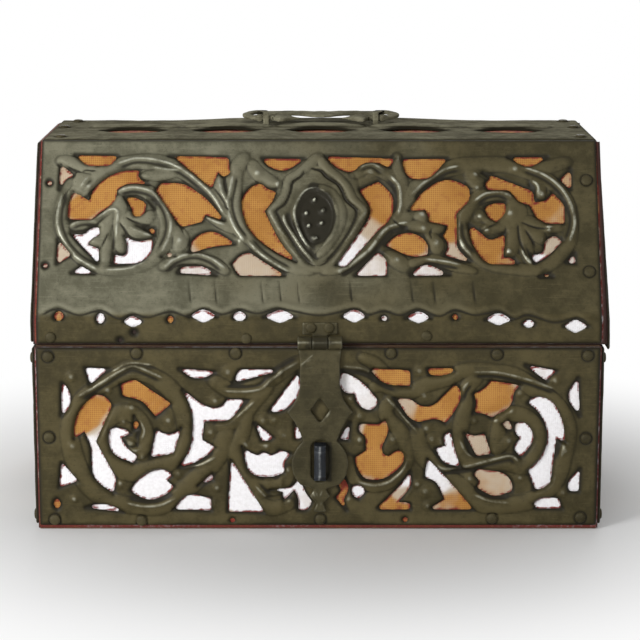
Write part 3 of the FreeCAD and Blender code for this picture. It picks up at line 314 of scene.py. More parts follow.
STAPLE_IRON = iron_material(
    "staple_iron", (0.004, 0.005, 0.007, 1.0), (0.014, 0.018, 0.024, 1.0), (0.30, 0.31, 0.31, 1.0), 0.0,
    gloss=0.3)
WOOD = wood_material()
CLOTH = cloth_material()


# Meshes

def placed(name, data):
    """A new object in the scene, at the origin."""
    made = bpy.data.objects.new(name, data)
    bpy.context.collection.objects.link(made)
    return made


def smooth_mesh(name, bm):
    """A mesh with smooth shading from a working copy, which goes."""
    mesh = bpy.data.meshes.new(name)
    bm.to_mesh(mesh)
    bm.free()
    for polygon in mesh.polygons:
        polygon.use_smooth = True
    return mesh


def move_corners(mesh, places):
    mesh.vertices.foreach_set("co", places.ravel())
    mesh.update()


def corner_normals(mesh):
    values = np.zeros(len(mesh.vertices) * 3)
    mesh.vertex_normals.foreach_get("vector", values)
    return values.reshape(-1, 3)


def coordinates(mesh):
    values = np.zeros(len(mesh.vertices) * 3)
    mesh.vertices.foreach_get("co", values)
    return values.reshape(-1, 3)


def edge_ends(mesh):
    values = np.zeros(len(mesh.edges) * 2, np.int64)
    mesh.edges.foreach_get("vertices", values)
    return values.reshape(-1, 2)


def neighbour_mean(values, ends):
    """For every corner, the mean of a value over the corners beside it."""
    count = len(values)
    both = np.concatenate([ends, ends[:, ::-1]])
    number = np.maximum(np.bincount(both[:, 0], minlength=count), 1)
    total = [np.bincount(both[:, 0], weights=value[both[:, 1]], minlength=count) for value in values.T]
    return np.stack(total, 1) / number[:, None]


def noise_over(places, scale):
    """Soft noise at each corner, from -1 to 1."""
    return np.array([noise.noise(Vector(p) * scale) for p in places])


def smoothstep(value, low, high):
    share = np.clip((value - low) / (high - low), 0.0, 1.0)
    return share * share * (3 - 2 * share)


def attribute(mesh, name, values):
    """Writes one value for each corner of the mesh, for its material to read."""
    layer = mesh.attributes.new(name, "FLOAT", "POINT")
    layer.data.foreach_set("value", values.astype(np.float32))


def merged_copy(node):
    """The CAD node's mesh with its loose triangles joined."""
    bm = bmesh.new()
    bm.from_mesh(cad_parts[node].data)
    bmesh.ops.remove_doubles(bm, verts=bm.verts, dist=0.000002)
    return bm


def baked_copy(piece, name):
    """The mesh of a piece after its modifiers; the piece itself goes."""
    graph = bpy.context.evaluated_depsgraph_get()
    graph.update()
    made = bpy.data.meshes.new_from_object(piece.evaluated_get(graph))
    bpy.data.objects.remove(piece)
    made.name = name
    return made


def even_skin(bm, name, voxel):
    """The same body in a skin of even little squares."""
    rough = placed(name, smooth_mesh(name, bm))
    remesh = rough.modifiers.new("even_skin", "REMESH")
    remesh.mode = "VOXEL"
    remesh.voxel_size = voxel * COARSER
    remesh.use_smooth_shade = True
    return baked_copy(rough, name)


def thinned(mesh, hidden):
    """Fewer, larger faces on the part of a skin that lies against the cloth, away from its openings."""
    name = mesh.name
    rough = placed(name, mesh)
    side = rough.vertex_groups.new(name="hidden")
    side.add(np.nonzero(hidden)[0].tolist(), 1.0, "REPLACE")
    thin = rough.modifiers.new("thinned", "DECIMATE")
    thin.vertex_group = "hidden"
    thin.ratio = 1.0 - THINNED_SHARE * hidden.mean()
    return baked_copy(rough, name)


def add_piece(name, mesh, body, nodes, finish):
    """Puts a finished mesh in the scene in place of CAD nodes."""
    mesh.materials.clear()
    mesh.materials.append(finish)
    piece = placed(name, mesh)
    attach(piece, body)
    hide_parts(*nodes)
    return piece


def wear_of(mesh, places, ends, reach):
    """How sharply the surface bulges at each corner: 0.5 where flat, 1 on rubbed ridges, 0 in creases."""
    bulge = ((places - neighbour_mean(places, ends)) * corner_normals(mesh)).sum(1)[:, None]
    for step in range(2):
        bulge = 0.5 * bulge + 0.5 * neighbour_mean(bulge, ends)
    return np.clip(0.5 + bulge[:, 0] / reach, 0.0, 1.0)


def forge(node, body, finish, voxel, rounds=3, shaped=None, marks=(), tone=None):
    """A solid forging from its CAD node, with filed edges rubbed bright, hammer marks, and any marks on its
    front raised a little and painted bright as scratches and highlights.
    """
    mesh = even_skin(merged_copy(node), node + "_forged", voxel)
    places, ends = coordinates(mesh), edge_ends(mesh)
    for step in range(rounds):
        places = places + 0.5 * (neighbour_mean(places, ends) - places)
    if shaped:
        places = shaped(places)
    move_corners(mesh, places)
    normals = corner_normals(mesh)
    across, height = places[:, 0] / MM, places[:, 2] / MM
    paper = Paper((across.min() - 1, height.min() - 1), (across.max() + 1, height.max() + 1))
    for line in marks:
        paper.stroke(line, crease_shape, lambda width: 1.8, 4.0)
    mark = paper.read(across, height) * (normals[:, 1] < -0.4)
    dents = noise_over(places, 260.0) * 0.06 * MM + mark * 0.15 * MM
    places = places + normals * dents[:, None]
    move_corners(mesh, places)
    wear_and_highlight = wear_of(mesh, places, ends, 0.16 * MM * (voxel / (0.45 * MM)))
    wear_and_highlight = np.where(wear_and_highlight > 0.5, 0.5 + 0.6 * (wear_and_highlight - 0.5), wear_and_highlight)
    # The marks are painted bright: rubbed scratches and painted highlights.
    attribute(mesh, "wear_and_highlight", np.clip(wear_and_highlight + 0.5 * mark, 0.0, 1.0))
    attribute(mesh, "relief", np.clip(tone(places), 0.0, 1.0) if tone else np.full(len(places), 0.6))
    add_piece(node + "_forged", mesh, body, [node], finish)


# Drawing planes of the iron sheets

class Plane:
    """A sheet's drawing plane on the cloth: where a point lies across, up and out of it, in squares."""

    def __init__(self, origin, right, up, across=MM, along=MM):
        self.origin = np.array(origin) * MM
        self.right = np.array(right, float)
        self.up = np.array(up, float) / np.linalg.norm(up)
        self.out = np.cross(self.right, self.up)
        self.across = across
        self.along = along

    def read(self, places):
        away = places - self.origin
        return away @ self.right / self.across, away @ self.up / self.along, away @ self.out

    def point(self, column, row, out=0.0):
        return self.origin + self.right * column * self.across + self.up * row * self.along + self.out * out


SLOPE_UP = (0.0, 36.0, 71.5)
BACK_UP = (0.0, -36.0, 71.5)
WALL_ROW = 78.8 / 78.0 * MM
SLOPE_SQUARE = 238.8 / 240.0 * MM
SLOPE_ROW = 80.05 / 82.0 * MM
PLANES = {
    "body_front": Plane((0, -72.7, 1.7), (1, 0, 0), (0, 0, 1), MM, WALL_ROW),
    "body_back": Plane((0, 72.7, 1.7), (-1, 0, 0), (0, 0, 1)),
    "body_left": Plane((-120.7, 0, 1.7), (0, -1, 0), (0, 0, 1)),
    "body_right": Plane((120.7, 0, 1.7), (0, 1, 0), (0, 0, 1)),
    "lid_front": Plane((1.1, -72.7, 91.57), (1, 0, 0), SLOPE_UP, SLOPE_SQUARE, SLOPE_ROW),
    "lid_back": Plane((0, 72.7, 91.57), (-1, 0, 0), BACK_UP, SLOPE_SQUARE, SLOPE_ROW),
    "lid_left": Plane((-121.0, 0, 81.4), (0, -1, 0), (0.3, 0, 81.5)),
    "lid_right": Plane((122.9, 0, 81.4), (0, 1, 0), (-2.2, 0, 81.5)),
    "lid_top": Plane((1.1, 0, 163.6), (1, 0, 0), (0, 1, 0)),
}
RIM_PLANES = {
    "lid_front": Plane((1.1, -72.7, 91.4), (1, 0, 0), (0, 0, 1), SLOPE_SQUARE, SLOPE_ROW),
    "lid_back": Plane((0, 72.7, 91.4), (-1, 0, 0), (0, 0, 1), SLOPE_SQUARE, SLOPE_ROW),
}


# Relief drawings

# Stems, leaves and ridges are listed as (column, row, half width) along their middle.
BODY_FRONT_STEMS = [
    [(-81, 36, 2.6), (-77, 32, 2.6), (-73.5, 37, 3.2), (-75, 45, 3.4), (-81, 50, 3.6), (-88, 48, 3.6),
     (-92, 41, 3.6), (-91.5, 33, 3.8), (-87, 26.5, 4.0), (-78, 23.5, 4.2), (-69, 26, 4.2),
     (-60.5, 31, 4.0), (-56.5, 41, 3.8), (-58, 52, 4.0), (-64, 61, 4.0), (-73, 66.5, 3.6), (-83, 66, 3.4),
     (-93, 61.5, 3.6), (-101.5, 54, 3.8), (-106, 44, 3.8), (-105, 32, 4.2), (-100, 20, 4.2),
     (-91, 12, 4.0), (-79, 9, 3.6), (-68, 9, 3.8), (-58, 15.5, 4.2), (-49, 24, 4.2), (-42, 33, 4.2),
     (-39, 42, 3.6)],
    [(-45, 64, 3.0), (-36, 59, 3.4), (-27, 61, 3.2), (-19, 65, 3.2), (-10, 71, 3.0), (-2, 73, 2.0)],
    [(-42, 43, 3.4), (-33, 49, 4.0), (-27, 56, 3.8), (-21, 61, 2.6)],
    [(-31, 52, 3.6), (-32, 42, 3.2), (-35.5, 33, 3.4), (-33, 24, 3.8), (-26, 17.5, 3.8), (-16, 18, 3.4),
     (-12, 25, 2.6)], [(-20, 20, 3.0), (-27, 12, 3.6), (-20, 8, 3.2), (-12, 10, 3.0)],
    [(18, 74, 2.2), (25, 70, 3.0), (33, 59, 3.0), (29, 52, 3.2), (30, 47, 3.2), (35, 42, 3.4),
     (38, 34, 3.4), (36, 26, 3.6), (30, 19.5, 3.2), (22, 18, 2.8), (15, 21, 2.4), (13, 30, 2.6)],
    [(22, 60, 2.0), (28, 62, 3.2), (36, 58, 3.2), (46, 62, 3.2), (56, 65, 3.2), (62, 68, 3.2),
     (73, 67.5, 3.6), (84, 65.5, 3.6), (93, 59.5, 3.8), (101.5, 53, 3.8), (106.5, 43, 3.8),
     (105, 31, 3.8), (101.5, 20, 4.0), (93, 12, 3.8), (82, 9.5, 3.6), (70, 10, 3.8), (61, 17, 4.2),
     (52, 24, 4.0), (44, 33, 4.0), (42, 42, 3.2)],
    [(80, 38, 3.2), (76, 34, 2.8), (77, 42, 3.2), (80, 49, 3.4), (88, 48, 3.6), (94, 42, 3.6),
     (94.5, 34, 3.8), (90, 27, 4.0), (80, 28, 3.6), (70, 27, 3.4), (62, 30, 3.2), (60.5, 40, 3.4),
     (62, 50, 3.6), (63, 60, 3.4), (68, 66, 3.2)],
]
# Each ridge gets a painted highlight along its crest and painted shade beside it.
BODY_FRONT_RIDGES = [
    [(-102, 57, 0.45), (-92, 63, 0.45), (-84, 68, 0.5), (-78, 70, 0.5), (-70, 67, 0.45), (-66, 65, 0.4)],
    [(-88, 67.5, 0.4), (-80, 71.2, 0.5), (-70, 70.5, 0.4)],
    [(-82, 10.3, 0.4), (-75, 9, 0.5), (-68, 9.5, 0.5), (-61, 12.5, 0.4)],
    [(-58, 25.8, 0.4), (-50, 27.5, 0.5), (-44, 30.5, 0.5)],
    [(-76, 34, 0.35), (-80, 33.2, 0.35), (-84, 35, 0.35)],
    [(-76, 46.5, 0.35), (-74.2, 42, 0.35), (-76, 37.5, 0.35)],
    [(-40, 59.3, 0.4), (-30, 59.2, 0.5), (-24, 60.5, 0.5), (-19.5, 64.5, 0.5), (-14, 68.5, 0.5),
     (-8, 72, 0.4)], [(-40, 45, 0.4), (-33, 49.5, 0.45), (-27, 55, 0.4)],
    [(-27, 18, 0.35), (-22, 12.5, 0.35)],
    [(17.5, 19.5, 0.4), (24, 18.2, 0.5), (30, 19.6, 0.55), (35, 23.5, 0.5), (38, 28, 0.4)],
    [(29, 56.5, 0.35), (34, 51, 0.4), (39, 45, 0.4), (42, 42, 0.35)],
    [(10, 70, 0.4), (20, 68.5, 0.4), (28, 63.5, 0.4), (34, 61, 0.4)],
    [(60, 55, 0.4), (61.5, 60, 0.5), (64, 63.5, 0.4)],
    [(48, 28, 0.35), (54, 25.5, 0.4), (63, 26.5, 0.45), (72, 28.8, 0.45), (82, 31, 0.4),
     (86, 28.5, 0.35)], [(66, 67.5, 0.4), (76, 67.5, 0.4), (87, 65, 0.4), (96, 62, 0.4), (101, 60, 0.35)],
    [(67, 14, 0.4), (74, 11.3, 0.45), (82, 10.5, 0.4)],
    [(93.5, 14.8, 0.35), (98, 17.5, 0.4), (101.5, 21.5, 0.35)],
    [(60.5, 38, 0.35), (63, 33, 0.4), (66, 30.5, 0.35)],
    [(104, 30, 0.35), (105.5, 40, 0.35), (103, 50, 0.35)],
]
# Each knob gets a small painted glint on its top.
BODY_FRONT_KNOBS = [
    (-105, 65.5, 2.4), (-89.5, 59.5, 1.9), (-83, 46, 1.8), (-64, 46.5, 2.6), (-85, 19, 2.4),
    (-75, 30.5, 1.8), (-60, 23, 2.2), (-38.5, 67.5, 3.0), (-44, 55, 2.4), (-46, 41.5, 2.6),
    (-19, 46.8, 2.2), (-23.5, 46.5, 2.2), (-31, 36, 2.4), (-22.5, 35.5, 2.4), (-14.5, 40, 2.6),
    (-13, 24.8, 1.8), (-12.8, 11.3, 2.6), (-46, 10, 2.4), (-105, 35.5, 2.4), (-79.5, 52.5, 2.4),
    (-105, 12, 2.0), (-43.5, 17, 2.0), (13.8, 56, 2.0), (17.5, 48.5, 2.6), (32, 38.5, 2.6),
    (17.5, 38, 2.2), (13, 12, 2.4), (37.5, 15, 2.6), (43, 68, 2.4), (45, 57.5, 3.0), (46, 43, 2.8),
    (48.5, 38.5, 2.6), (53, 37.5, 2.2), (66.5, 46.5, 1.8), (75.5, 46.8, 1.8), (82, 51, 2.2),
    (86, 58.5, 2.0), (100.5, 63.8, 2.4), (105.5, 33.5, 2.4), (86.5, 21.5, 2.2), (65, 21, 2.2),
    (46, 15.5, 3.0), (42.5, 18.5, 2.0), (81.5, 38, 3.0), (47, 9, 2.0), (105, 15, 2.2), (-80.5, 36.5, 2.6),
]

LID_FRONT_STEMS = [
    [(-4, 22.5, 2.4), (-13, 24.5, 2.8), (-22, 29, 2.8), (-30, 37, 3.0), (-35.5, 47, 3.2),
     (-37.5, 58, 3.4), (-37, 68, 3.4), (-33, 75, 2.8)],
    [(-31, 36, 2.2), (-38, 44, 3.0), (-44, 50.5, 3.2), (-50, 59.5, 3.6), (-58, 67.5, 3.8),
     (-68, 71.5, 3.8), (-79, 72.5, 3.6), (-91, 69.5, 3.6), (-102, 61.5, 3.8), (-109.5, 52, 3.2),
     (-111.5, 44, 3.0), (-108.5, 35.5, 3.0), (-101.5, 27.5, 3.0), (-93, 23.5, 2.8), (-82, 23.5, 2.8),
     (-73, 27, 3.0), (-67.5, 34, 3.4), (-65.5, 43, 3.6), (-67.5, 51, 3.6), (-72.5, 57, 3.4),
     (-79, 60, 3.0), (-86.5, 58.5, 2.4)], [(-87.5, 56, 2.2), (-88, 50.5, 4.6), (-91, 44, 5.0)],
    [(-92, 46, 3.2), (-100, 43.5, 3.0), (-107, 42.5, 2.2)],
    [(-92, 44, 3.2), (-96, 37, 3.4), (-98.5, 35.5, 2.2)],
    [(-91, 44, 3.0), (-92.5, 34, 3.0), (-92.5, 26.5, 2.4)],
    [(-88, 44, 3.0), (-86, 36, 3.2), (-85, 31.5, 2.4)],
    [(-86, 47, 3.4), (-80, 41, 3.4), (-73, 38.5, 2.2)],
    [(-83, 48, 2.4), (-76, 46, 3.0), (-73, 48.5, 2.0)],
    [(-100, 69, 2.2), (-103.5, 64, 3.6), (-102.5, 57.5, 2.2)],
    [(-113, 73, 2.6), (-107.5, 72, 3.0), (-98, 69.5, 2.6)],
    [(-62, 68, 2.4), (-70, 66.5, 3.0), (-77, 66, 1.6)],
    [(-44.5, 65.5, 2.2), (-43, 58, 3.0), (-40, 52, 2.4)],
    [(-66, 43, 2.6), (-60.5, 37.5, 3.8), (-61, 32.5, 2.6)],
    [(-49, 48, 1.8), (-42, 44, 2.8), (-36, 41, 2.4)],
    [(-68, 24, 2.2), (-61, 27.5, 2.6), (-54, 28, 2.6), (-46, 26, 2.6), (-40.5, 22, 2.2)],
    [(-30, 72, 2.4), (-27, 67, 3.2), (-20, 62, 2.8)],
    [(1, 22.5, 2.4), (9, 24, 2.6), (17, 29.5, 2.8), (25, 38, 3.0), (31.5, 46, 3.2), (34.5, 57, 3.4),
     (34, 66, 3.2), (33, 75, 2.4)], [(29, 42, 2.2), (36, 46, 3.2), (43, 62, 0.1)],
    [(33, 50, 2.0), (40, 59, 3.4), (48, 66, 3.6), (58, 70, 3.8), (68, 71, 3.8), (80, 71, 3.6),
     (91, 67.5, 3.6), (100, 62.5, 3.2), (106, 54, 3.2), (107.5, 45, 3.0), (106.5, 36, 3.2),
     (101, 28, 3.2), (93, 23, 2.8), (82, 23.5, 2.8), (72, 25.5, 2.8), (64, 32.5, 3.0), (60.5, 41, 3.2),
     (62, 49.5, 3.4), (67.5, 55.5, 3.2), (76, 57.5, 3.0), (83, 55, 2.6)],
    [(82.5, 55, 2.8), (84, 49.5, 4.8), (83, 43, 4.8)],
    [(82, 44.5, 3.4), (74, 42.5, 3.4), (70, 40.5, 2.2)],
    [(83, 42, 3.8), (82, 34, 3.4), (80.5, 29.5, 2.4)], [(86, 43, 3.2), (88, 33, 3.0), (90, 26, 2.2)],
    [(87, 44, 3.0), (92, 39.5, 3.2), (96, 35.5, 2.0)], [(88, 45.5, 2.8), (96, 42.5, 2.8), (104, 42, 2.0)],
    [(80, 48, 2.2), (74, 44, 1.6), (68, 49, 2.2)], [(93, 67, 2.2), (94, 62, 3.2), (95, 55.5, 2.0)],
    [(88, 71.5, 2.4), (97, 70, 3.2), (107, 72.5, 2.6)], [(64, 69.5, 2.2), (66, 63.5, 3.2), (70, 63, 2.0)],
    [(40.5, 48.5, 2.4), (44, 46.5, 2.8), (46, 44, 2.2)],
    [(36, 43, 2.0), (44, 42.5, 3.0), (52, 41.5, 2.4)],
    [(46, 39, 2.2), (49.5, 35, 3.2), (49.5, 31.5, 2.6)],
    [(28, 29.5, 2.4), (32, 27.5, 3.6), (36, 24, 3.0)],
    [(14, 66.5, 2.4), (21, 70, 3.0), (29, 66.5, 3.0), (33, 62, 2.4)],
    [(38, 25.5, 2.0), (47, 27.5, 2.4), (57, 24.5, 2.4), (66, 22, 1.6)],
]
# Each ridge gets a painted highlight along its crest and painted shade beside it.
LID_FRONT_RIDGES = [
    [(-33, 36, 0.4), (-37.5, 43, 0.5), (-40, 52, 0.5), (-39, 60, 0.5), (-38, 66, 0.4)],
    [(-31, 35.5, 0.4), (-26, 30, 0.5), (-20, 25.5, 0.5), (-13.5, 21.8, 0.4)],
    [(-42, 48.5, 0.4), (-46, 56, 0.5), (-53, 63.5, 0.5), (-61, 69.5, 0.5), (-70, 73, 0.5),
     (-80, 74, 0.45), (-88, 71.5, 0.4)],
    [(-111.5, 58, 0.4), (-113.2, 50, 0.5), (-113, 43, 0.5), (-110, 35, 0.5), (-104, 28, 0.5),
     (-96, 22.8, 0.45)], [(-92, 22.5, 0.35), (-82, 23.3, 0.4), (-75, 26.5, 0.4)],
    [(-73, 70, 0.35), (-68, 69, 0.4), (-61, 68.5, 0.4)],
    [(-87, 59.5, 0.4), (-80, 60.5, 0.45), (-72, 58, 0.45), (-67, 52, 0.45), (-64.5, 45, 0.45),
     (-65, 38, 0.4), (-68, 31, 0.35)],
    [(-97, 46, 0.4), (-91, 50.2, 0.5), (-87.5, 49.5, 0.5), (-87.5, 44, 0.5), (-88.5, 36, 0.4)],
    [(-108, 43, 0.35), (-103, 45, 0.4), (-97, 45.3, 0.35)],
    [(-82, 42, 0.35), (-76, 39.3, 0.35), (-72.5, 38.6, 0.3)],
    [(-104, 60, 0.35), (-102, 63.5, 0.4), (-100, 66, 0.35)],
    [(-67, 23.5, 0.4), (-62, 28, 0.45), (-54, 30, 0.45), (-47, 28, 0.45), (-41, 23.5, 0.4)],
    [(-44, 64, 0.35), (-42.5, 58, 0.45), (-39.5, 52, 0.35)],
    [(-50, 47.5, 0.35), (-46, 45, 0.4), (-41, 43, 0.35)],
    [(8, 22, 0.4), (14, 26, 0.4), (21, 32, 0.5), (26, 39, 0.5), (30, 42.5, 0.45), (38, 44.5, 0.4)],
    [(30, 66, 0.4), (33.8, 61, 0.5), (34.5, 54, 0.5), (33.5, 48, 0.4)],
    [(39, 57, 0.35), (45, 63, 0.4), (53, 68.5, 0.4), (60, 70.5, 0.4)],
    [(88, 70, 0.4), (97, 66, 0.5), (104, 60, 0.5), (108, 52, 0.5), (109.2, 44, 0.5), (106.8, 35.5, 0.4)],
    [(59, 45, 0.4), (59, 39, 0.5), (61, 33.5, 0.5), (64.5, 29, 0.4)],
    [(66, 54, 0.35), (71, 57.5, 0.4), (77, 58.5, 0.4), (82, 56.5, 0.35)],
    [(91, 64, 0.35), (93.8, 61, 0.4), (93.5, 56.5, 0.35)], [(96, 42, 0.4), (100, 42.3, 0.4)],
    [(86, 33, 0.35), (88, 28, 0.4), (90.5, 25, 0.35)],
    [(45, 27.5, 0.35), (53, 26.5, 0.4), (60, 25, 0.35)],
    [(16, 70, 0.35), (22, 71.5, 0.4), (28, 68, 0.35)],
    [(-16.2, 48.5, 0.3), (-15.2, 44.0, 0.6), (-11.8, 38.2, 0.9), (-8.0, 32.2, 0.9), (-3.4, 26.4, 0.5)],
    [(-1.6, 60.8, 0.3), (-6.4, 59.2, 0.45), (-10.0, 54.4, 0.55), (-11.6, 48.8, 0.6), (-10.4, 43.2, 0.55),
     (-7.8, 36.7, 0.4), (-4.2, 30.8, 0.3)],
]

# The shield's raised border and the broad flank of its bowl
SHIELD = [
    [(-0.8, 75, 2.4), (-4.7, 71.6, 2.2), (-8.8, 67.6, 1.8), (-13.7, 64, 1.8), (-15.2, 58, 1.8),
     (-18.2, 53.2, 1.8), (-21.8, 49.8, 1.6), (-19.6, 43.4, 1.7), (-15.6, 36, 1.7), (-11.2, 29.2, 1.7),
     (-6.9, 24.2, 1.6), (-1.5, 23, 1.4), (4.1, 24.8, 1.6), (9.2, 30.8, 1.7), (14.3, 39.3, 1.7),
     (17.8, 46.4, 1.6), (18.6, 50, 1.6), (13.9, 55, 1.8), (11.4, 60.4, 1.8), (7.4, 65.2, 1.8),
     (2.6, 69.4, 2.0), (-0.8, 75, 2.4)],
    [(-1.0, 60.8, 1.5), (4.4, 57.6, 2.2), (7.6, 52.2, 2.5), (8.4, 46.6, 2.5), (6.4, 39.8, 2.3),
     (2.5, 33, 1.9), (-1.4, 28.6, 1.4)],
]
LID_FRONT_STEMS += SHIELD
# Each knob gets a small painted glint on its top.
LID_FRONT_KNOBS = [
    (-88, 59.2, 1.8), (-57, 43.5, 2.2), (-60.5, 36, 2.6), (-35, 36, 2.4), (-27.5, 67, 2.6),
    (-19, 62, 2.2), (-100.5, 61, 2.2), (84, 69, 2.4), (67, 66.5, 2.2), (67.5, 60, 2.0), (81.5, 48.5, 3.0),
    (44, 41.5, 2.6), (49.5, 35, 2.8), (43.5, 48, 2.4), (32.5, 27, 3.0), (95, 57.5, 2.2), (71, 41, 2.0),
    (68, 47, 2.0), (98, 41, 1.8), (21.5, 67.5, 2.6), (8, 22, 1.6), (-47.5, 61, 2.0), (96, 36, 1.6),
    (80.5, 31, 1.8),
]

# The lip that the plain band forms over the row of openings at the fold, and its hammered flutes
FOLD_OPENINGS = [
    (-112, 2.4), (-93.7, 1.4), (-80, 0), (-64, 1), (-50, 2.4), (-34.6, 2.3), (-17.5, 2.2), (14.2, 2.3),
    (27, 1.5), (41.5, 1.8), (57.2, 2), (75.6, 1), (88.5, -0.6), (108.4, -1.6), (120, -1.4),
]
FLUTES = [-55.3, -44.3, -24.5, -16.7, -9.0, 13.5, 39.5, 49.0, 66.0]


def lip_line(lift, height):
    """A waving line that arches over each opening at the fold and dips between them."""
    line = [(-118.5, 2.6 + lift, height)]
    for i, ((a, top), (b, after)) in enumerate(zip(FOLD_OPENINGS, FOLD_OPENINGS[1:])):
        sway = 0.5 * math.sin(2.3 * i)
        line += [(a, top + 2.9 + lift + 0.5 * sway, height),
                 ((a + b) / 2 + 2 * sway, (top + after) / 2 + 0.6 + lift - sway, 0.75 * height)]
    return line


# The crease under the lip and the flutes' creases are darkened as painted shade, and the lip's swell is
# lightened as a painted highlight.
LID_FRONT_GROOVES = [lip_line(0.0, 0.5)]
LID_FRONT_GROOVES += [[(x, 7.5, 0.34), (x - 0.6, 12, 0.3), (x - 1.2, 19, 0.1)] for x in FLUTES]
LID_FRONT_SWELLS = [lip_line(2.1, 0.7)]

# The shield's inner step, the creases between the flowers' petals and the folds of the leaves
LID_FRONT_GROOVES += [
    [(-6.7, 69, 0.5), (-8.4, 65.8, 0.55), (-12, 62.8, 0.55), (-13.1, 58.4, 0.55), (-15.2, 53, 0.5),
     (-18.8, 49.9, 0.5), (-17.7, 46.2, 0.5), (-14.2, 39.6, 0.5), (-10, 32.4, 0.5), (-4.7, 26, 0.45)],
    [(-4, 69.2, 0.7), (0, 68.2, 0.95), (2.7, 65.2, 1.0), (7.1, 62.2, 1.0), (8.9, 59.4, 1.0),
     (10.9, 54.6, 1.0), (15.2, 50.2, 0.9), (14.6, 45.7, 0.6), (11.6, 39.3, 0.5), (6.6, 31.6, 0.5),
     (2, 26.6, 0.45)], [(86.1, 44.4, 0.4), (91.8, 42.0, 0.5), (99.9, 41.2, 0.3)],
    [(84.6, 43.5, 0.4), (85.4, 36, 0.6), (88.4, 28, 0.4)],
    [(87.7, 40.8, 0.4), (90.2, 37, 0.5), (92, 33.4, 0.3)],
    [(79.6, 42.5, 0.4), (78.8, 37, 0.5), (77.5, 31, 0.3)],
    [(76.6, 44.2, 0.4), (71.5, 41.7, 0.5), (67.5, 39.5, 0.3)],
    [(-90.8, 40.5, 0.4), (-92.2, 37, 0.6), (-94.6, 31.8, 0.4)],
    [(-88.5, 42, 0.4), (-88.6, 37, 0.6), (-89, 32, 0.4)],
    [(-86.2, 44, 0.4), (-83.6, 40, 0.6), (-81.6, 35.6, 0.4)],
    [(-93.4, 45.8, 0.4), (-99, 41.6, 0.5), (-106, 40.4, 0.3)],
    [(-84.5, 47, 0.4), (-80, 44.6, 0.5), (-74, 43.2, 0.3)],
    [(-104.5, 66.5, 0.3), (-101.5, 68.4, 0.5), (-96, 68, 0.3)],
    [(-110.5, 71, 0.3), (-105, 68, 0.5), (-99, 66.6, 0.3)],
    [(-46.5, 61, 0.3), (-42.4, 55, 0.5), (-39.4, 49, 0.3)],
    [(30, 47, 0.3), (33, 43.6, 0.5), (38, 41, 0.3)], [(-57, 47, 0.3), (-60, 43, 0.5), (-58.5, 38, 0.3)],
    [(48, 42.2, 0.3), (47, 39, 0.5), (48.2, 35.5, 0.3)],
]

# Lighter and darker patches of hammer work, with some of painted shade and painted light: middle, half
# across, half up and how much lighter
BODY_FRONT_PATCHES = [
    (-84, 2.5, 24, 3.6, 0.34), (-40, 2.5, 14, 3.4, 0.26), (40, 2.5, 16, 3.4, 0.22),
    (80, 2.5, 26, 3.6, 0.24), (-66, 75, 30, 3, 0.12), (-106, 40, 3.5, 22, 0.12),
    # (3.9, 29.5) is a painted shadow of the staple, right of it behind the hasp's slot.
    (3.9, 29.5, 1.9, 8.6, -0.75), (1.6, 51.2, 2.2, 2.4, 0.7), (0.2, 47.8, 2.4, 2.0, 0.35),
    (-46, 42, 4, 4, 0.15), (30, 31, 5, 8, 0.12), (-12, 40, 4, 5, 0.25),
]
LID_FRONT_PATCHES = [
    # (-1.6, 47.2) is painted shade in the shield's deep bowl.
    (-1.6, 47.2, 9.0, 14.5, -0.85), (-12.6, 12, 4.5, 10, 0.5), (-30, 14, 9, 7, 0.22),
    (-50, 11, 5.4, 8, 0.3), (-75, 14, 15, 8, 0.22), (-108, 11, 9, 6, 0.3), (-61, 16, 4, 7, -0.2),
    (-40, 13, 3.5, 8, -0.15), (5, 13, 9, 8, -0.2), (-64.5, 29.5, 5, 2.6, 0.5), (26, 12, 9, 7, 0.12),
    (58, 15, 9, 6, -0.15), (80, 12, 9, 6, 0.1), (-60, 79, 40, 3, 0.2), (-4, 79, 10, 3, 0.3),
    (60, 79, 12, 3, 0.12), (-89.2, 46, 4.5, 6, 0.5), (-88.5, 38, 3.5, 5, 0.2), (80, 47.5, 3.6, 4.6, 0.5),
    # (9.5, 46) is painted light on the right slope of the shield's bowl.
    (81.5, 37, 3.5, 5, 0.15), (-3.5, 71.5, 5, 4, 0.3), (9.5, 46, 2.2, 9, 0.35),
]
# Each seed gets a painted glint on its top and is painted lighter.
SEEDS = [(-2.9, 54.4, 1.5), (-6.5, 48.2, 1.5), (0.7, 49.4, 1.7), (-5.4, 42.5, 1.4), (0, 43.8, 1.5),
         (-3.1, 36.9, 2.0)]
TOP_EYES = [-84, -42, 0, 42, 84]
TOP_LEAF = [(-17, 6, 4.0), (-9, 10, 6.0), (0, 12, 7.0), (9, 10, 6.0), (17, 6, 4.0)]
TOP_STEMS = [[(x + across, row, width) for across, row, width in TOP_LEAF] for x in TOP_EYES]
# Painted shade round each eye of the top sheet, in front of it and behind it.
TOP_PAINTED_SHADE = [(x, -6, 17, 5.0, -0.45) for x in TOP_EYES] + [(x, 3, 13, 4, -0.25) for x in TOP_EYES]

# The one running scroll of the hidden sides, in its own squares, with half widths
SCROLL_STEMS = [
    [(33, 30, 4), (38, 28, 4), (45, 35, 4), (50, 41, 4), (52, 30, 4), (49, 20, 4), (40, 14, 4.4),
     (28, 12, 4.6), (17, 20, 4.6), (11, 34, 4.6), (14, 50, 4.6), (25, 60, 4.4), (40, 61, 4),
     (53, 60, 3.6)], [(27, 50, 4), (33, 44, 4), (44, 41, 3)],
]


